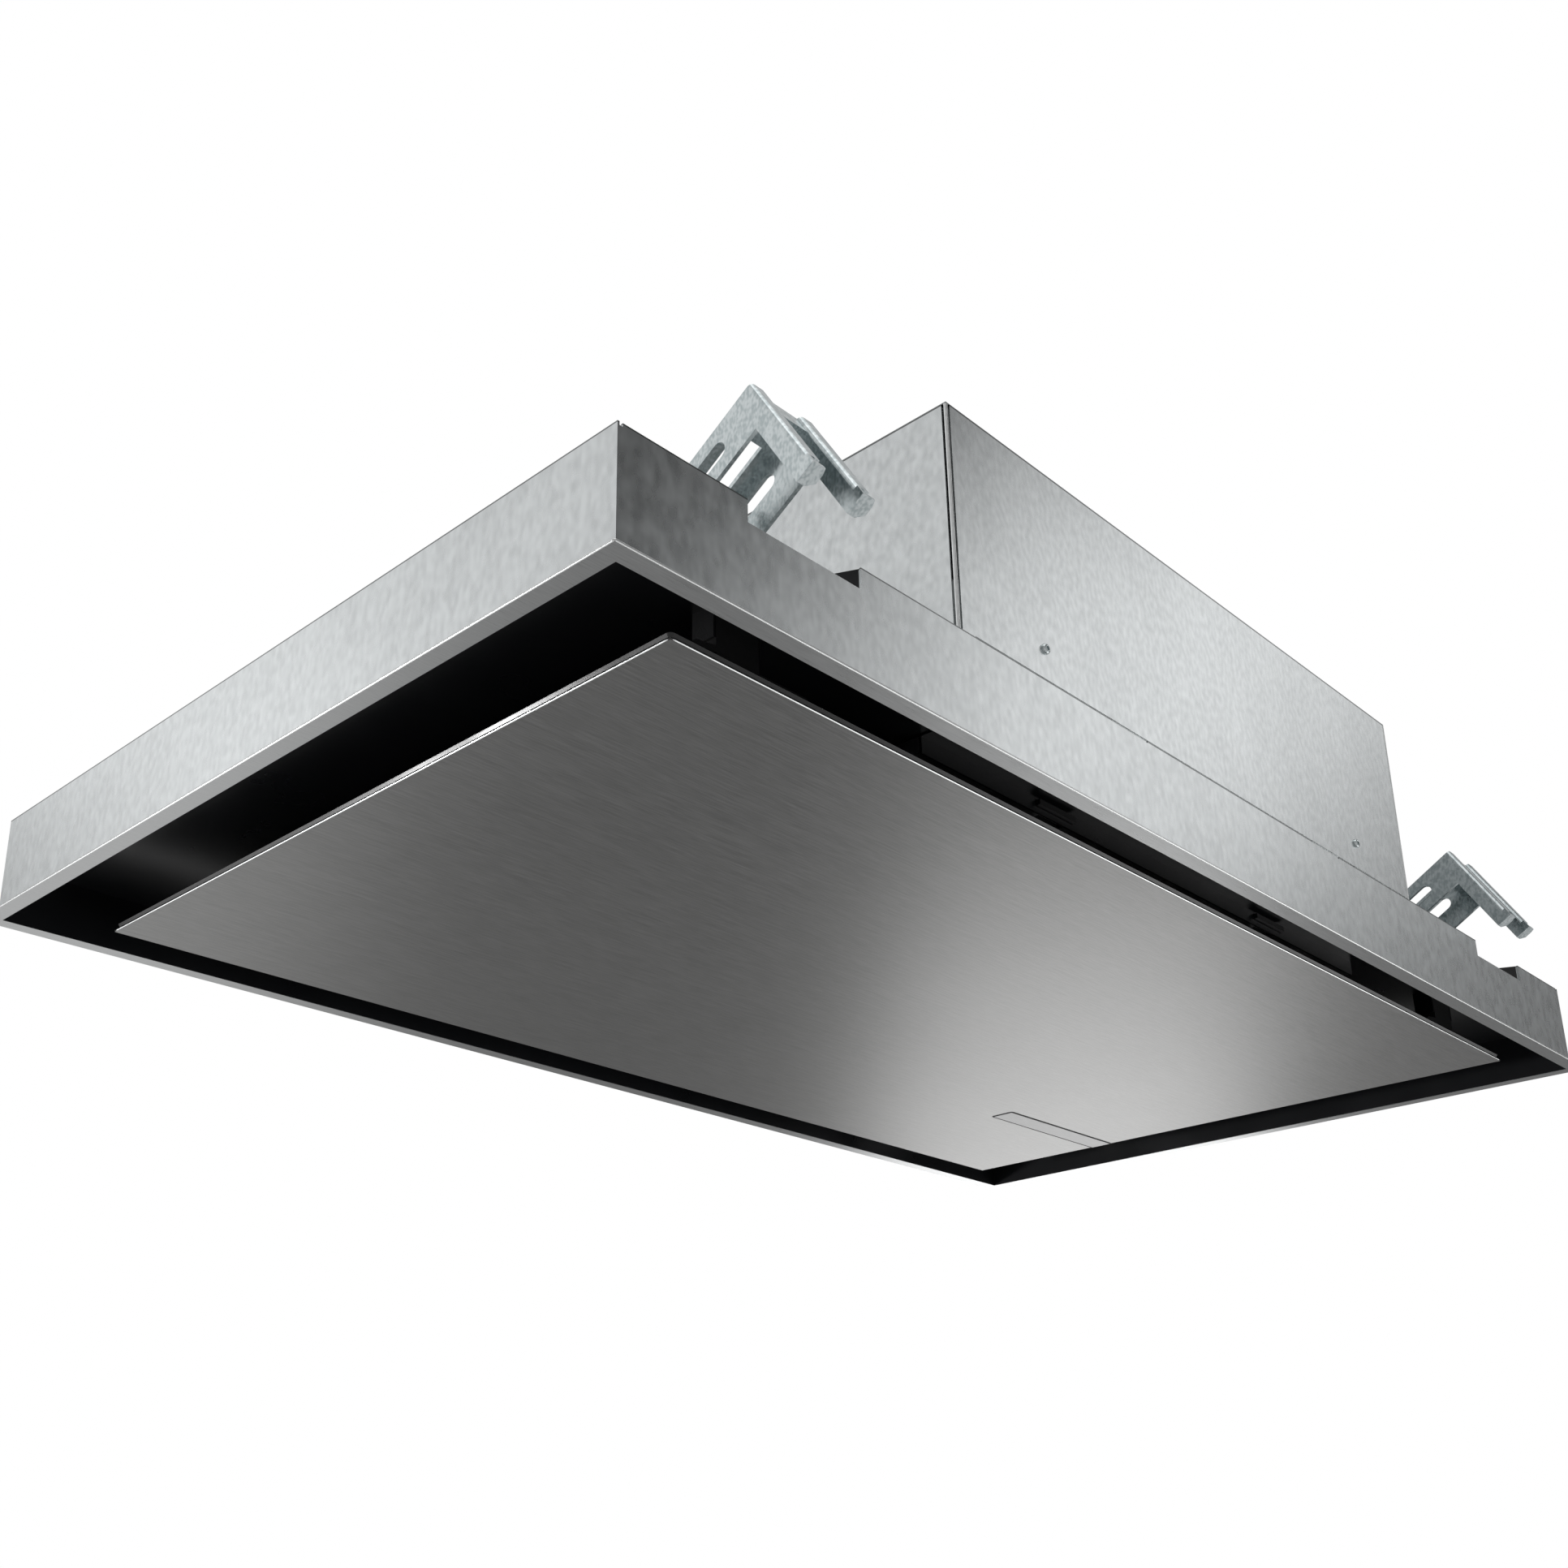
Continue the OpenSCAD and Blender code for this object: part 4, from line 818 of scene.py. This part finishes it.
def hinge_clips():
    """A clip and a domed cap at both ends of each hinge pin."""
    mesh = bmesh.new()
    clip = [(2.5, 0.05), (4.4, 0.05), (4.6, 0.25), (4.6, 0.6), (4.4, 0.75), (2.5, 0.75)]
    cap = [(2.5, -0.3), (2.48, 0.0), (2.1, 0.45), (1.2, 0.6), (0.0, 0.62)]
    for x in (-HINGE_X, HINGE_X):
        for side in SIDES:
            for offset, profile in ((HINGE_CLIP_X, clip), (HINGE_CAP_X, cap)):
                lathe(mesh, frame_at((x + side * offset, HINGE_Y, HINGE_Z), (side, 0, 0)), profile, 24)
    finish_mesh(mesh, "hinge_clips", "bright_zinc", "housing")


box_screw_heads()
clamp_fasteners()
panel_rim()
panel_hem()
flange_nose()
badge_shadow_strip()
panel_buffers()
cover_and_collar_screws()
cover_beads()
collar_lip()
gland_nuts()
filter_lattice("filter_left_lattice", -FILTER_MID)
filter_lattice("filter_right_lattice", FILTER_MID)
filter_rivets()
latch_ribs()
hinge_clips()


# Floor, world and lights, in metres and degrees; azimuth counts from +X

FLOOR_Z = -2.0
FLOOR_R = 40.0

# How bright the camera sees the floor near and far, the distances for it, and how bright metal mirrors it
FLOOR_GLOW = (0.76, 0.86)
GLOW_RANGE = (2.5, 12.0)
FLOOR_SHINE = 0.42

# A dark screen in what metal mirrors of the floor: it fades between two angles and over a range of distances
SCREEN_AZIMUTH = 27
SCREEN_INNER = math.cos(math.radians(28))
SCREEN_OUTER = math.cos(math.radians(41))
SCREEN_RANGE = (24.0, 12.0)
SCREEN_DARK = 0.98

# Soft boxes and dark screens of the studio: azimuth, elevation, inner and outer angle, brightness
SOFT_BOXES = [
    (-30.5, 28, 1, 12, 1.05),
    (-52, 42, 6, 24, -0.44),
    (-13, 16, 6, 17, -0.33),
    (128, 33, 12, 34, 0.38),
    (118, 25.5, 0, 9.5, 0.62),
    (109, 20.5, 0, 10, -0.5),
    (0, 90, 10, 50, 0.35),
]
STUDIO_BASE = 0.45
DIFFUSE_SHARE = 0.9

# Cards round the object: name, azimuth, elevation, distance, size and radiance
FAR_LIGHTS = [
    ("panel_softbox", 32.0, -14, 5.0, (1.25, 1.2), 2.2),
    ("rim_glint", 141.0, -11.5, 5.1, (0.6, 0.5), 70.0),
    ("left_edge_card", 130.0, -15, 5.0, (2.8, 1.4), 1.5),
    ("front_edge_card", -36.0, -13, 5.0, (2.8, 1.3), 1.4),
]
BEAM = math.radians(90)

# Cards that lie on the floor, facing up: name, place, size and radiance
FLOOR_CARDS = [
    ("front_line_card", (4.6, -2.6), (6.8, 1.8), 1.5),
    ("left_line_card", (-2.7, 4.0), (1.8, 4.6), 1.5),
]
CARD_Z = -1.97

TOP_LIGHT = (-0.6, -0.9, 2.4)
TOP_LIGHT_AIM = (0.0, 0.0, 0.1)
TOP_LIGHT_SIZE = (1.8, 1.8)
TOP_LIGHT_WATTS = 7.0


def heading(azimuth, elevation):
    a = math.radians(azimuth)
    e = math.radians(elevation)
    return Vector((math.cos(a) * math.cos(e), math.sin(a) * math.cos(e), math.sin(e)))


def facing(tree, direction, azimuth, elevation):
    """The cosine between a direction and a heading."""
    return put(tree, "VectorMath", {0: direction, 1: heading(azimuth, elevation)},
               operation="DOT_PRODUCT").outputs["Value"]


def ray_kinds(tree):
    """Whether a ray comes from the camera, and whether it was mirrored or let through."""
    path = put(tree, "LightPath").outputs
    mirrored = math_node(tree, "MAXIMUM", path["Is Glossy Ray"], path["Is Transmission Ray"])
    return path["Is Camera Ray"], mirrored


def floor_glow(tree, place):
    """White where the camera sees it; a darker sheen, with a dark screen, where metal mirrors it."""
    from_camera, mirrored = ray_kinds(tree)
    far = put(tree, "VectorMath", {0: place}, operation="LENGTH").outputs["Value"]
    toward = put(tree, "VectorMath", {0: place}, operation="NORMALIZE").outputs[0]
    ahead = facing(tree, toward, SCREEN_AZIMUTH, 0)
    screen = math_node(tree, "MULTIPLY",
                       spread(tree, ahead, SCREEN_OUTER, SCREEN_INNER, 0.0, SCREEN_DARK, True),
                       ramp(tree, far, *SCREEN_RANGE, True))
    shine = math_node(tree, "MULTIPLY", math_node(tree, "SUBTRACT", 1.0, screen), FLOOR_SHINE)
    seen = spread(tree, far, *GLOW_RANGE, *FLOOR_GLOW, True)
    return math_node(tree, "ADD", math_node(tree, "MULTIPLY", from_camera, seen),
                     math_node(tree, "MULTIPLY", mirrored, shine))


def make_floor():
    mesh = bmesh.new()
    bmesh.ops.create_circle(mesh, cap_ends=True, segments=64, radius=FLOOR_R)
    data = bpy.data.meshes.new("floor")
    mesh.to_mesh(data)
    mesh.free()
    floor = bpy.data.objects.new("floor", data)
    floor.location = (0, 0, FLOOR_Z)
    bpy.context.scene.collection.objects.link(floor)
    made = bpy.data.materials.new("floor_paint")
    made.use_nodes = True
    tree = made.node_tree
    tree.nodes.clear()
    place = put(tree, "TexCoord").outputs["Object"]
    tone = blend_colour(tree, noise(tree, place, 3.0), (0.27, 0.27, 0.27), (0.29, 0.29, 0.29))
    paint = put(tree, "BsdfDiffuse", {"Color": tone})
    glow = put(tree, "Emission", {"Color": (1, 1, 1, 1), "Strength": floor_glow(tree, place)})
    total = put(tree, "AddShader", {0: paint.outputs[0], 1: glow.outputs[0]})
    put(tree, "OutputMaterial", {"Surface": total.outputs[0]})
    data.materials.append(made)


def make_world():
    """A studio that metal mirrors, a little darker for diffuse light, and plain white for the camera."""
    world = bpy.data.worlds.new("studio")
    bpy.context.scene.world = world
    world.use_nodes = True
    tree = world.node_tree
    tree.nodes.clear()
    look = put(tree, "VectorMath", {0: put(tree, "TexCoord").outputs["Generated"]},
               operation="NORMALIZE").outputs[0]
    total = STUDIO_BASE
    for azimuth, elevation, inner, outer, bright in SOFT_BOXES:
        lobe = spread(tree, facing(tree, look, azimuth, elevation), math.cos(math.radians(outer)),
                      math.cos(math.radians(inner)), 0.0, bright, True)
        total = math_node(tree, "ADD", lobe, total)
    from_camera, mirrored = ray_kinds(tree)
    shown = blend_value(tree, mirrored, math_node(tree, "MULTIPLY", total, DIFFUSE_SHARE), total)
    shown = blend_value(tree, from_camera, shown, 1.0)
    back = put(tree, "Background", {"Color": (1, 1, 1, 1), "Strength": shown})
    put(tree, "OutputWorld", {"Surface": back.outputs[0]})


def area_light(name, place, aim, size, watts):
    data = bpy.data.lights.new(name, "AREA")
    data.shape = "RECTANGLE"
    data.size, data.size_y = size
    data.energy = watts
    made = bpy.data.objects.new(name, data)
    made.location = place
    made.rotation_mode = "QUATERNION"
    made.rotation_quaternion = (Vector(aim) - Vector(place)).to_track_quat("-Z", "Y")
    made.visible_camera = False
    bpy.context.scene.collection.objects.link(made)
    return made


def card_watts(size, radiance):
    return radiance * math.pi * size[0] * size[1]


def far_light(name, azimuth, elevation, far, size, radiance):
    """A card that far from the object, with a given brightness; its grid keeps the light off the floor."""
    share = 1.0 - BEAM / 2 / math.tan(BEAM / 2)
    made = area_light(name, heading(azimuth, elevation) * far, (0, 0, 0), size,
                      card_watts(size, radiance) * share)
    made.data.spread = BEAM


def floor_card(name, place, size, radiance):
    """A card lying on the floor, facing up."""
    area_light(name, (*place, CARD_Z), (*place, 0), size, card_watts(size, radiance))


make_floor()
make_world()
for light in FAR_LIGHTS:
    far_light(*light)
for card in FLOOR_CARDS:
    floor_card(*card)
area_light("top_softbox", TOP_LIGHT, TOP_LIGHT_AIM, TOP_LIGHT_SIZE, TOP_LIGHT_WATTS)
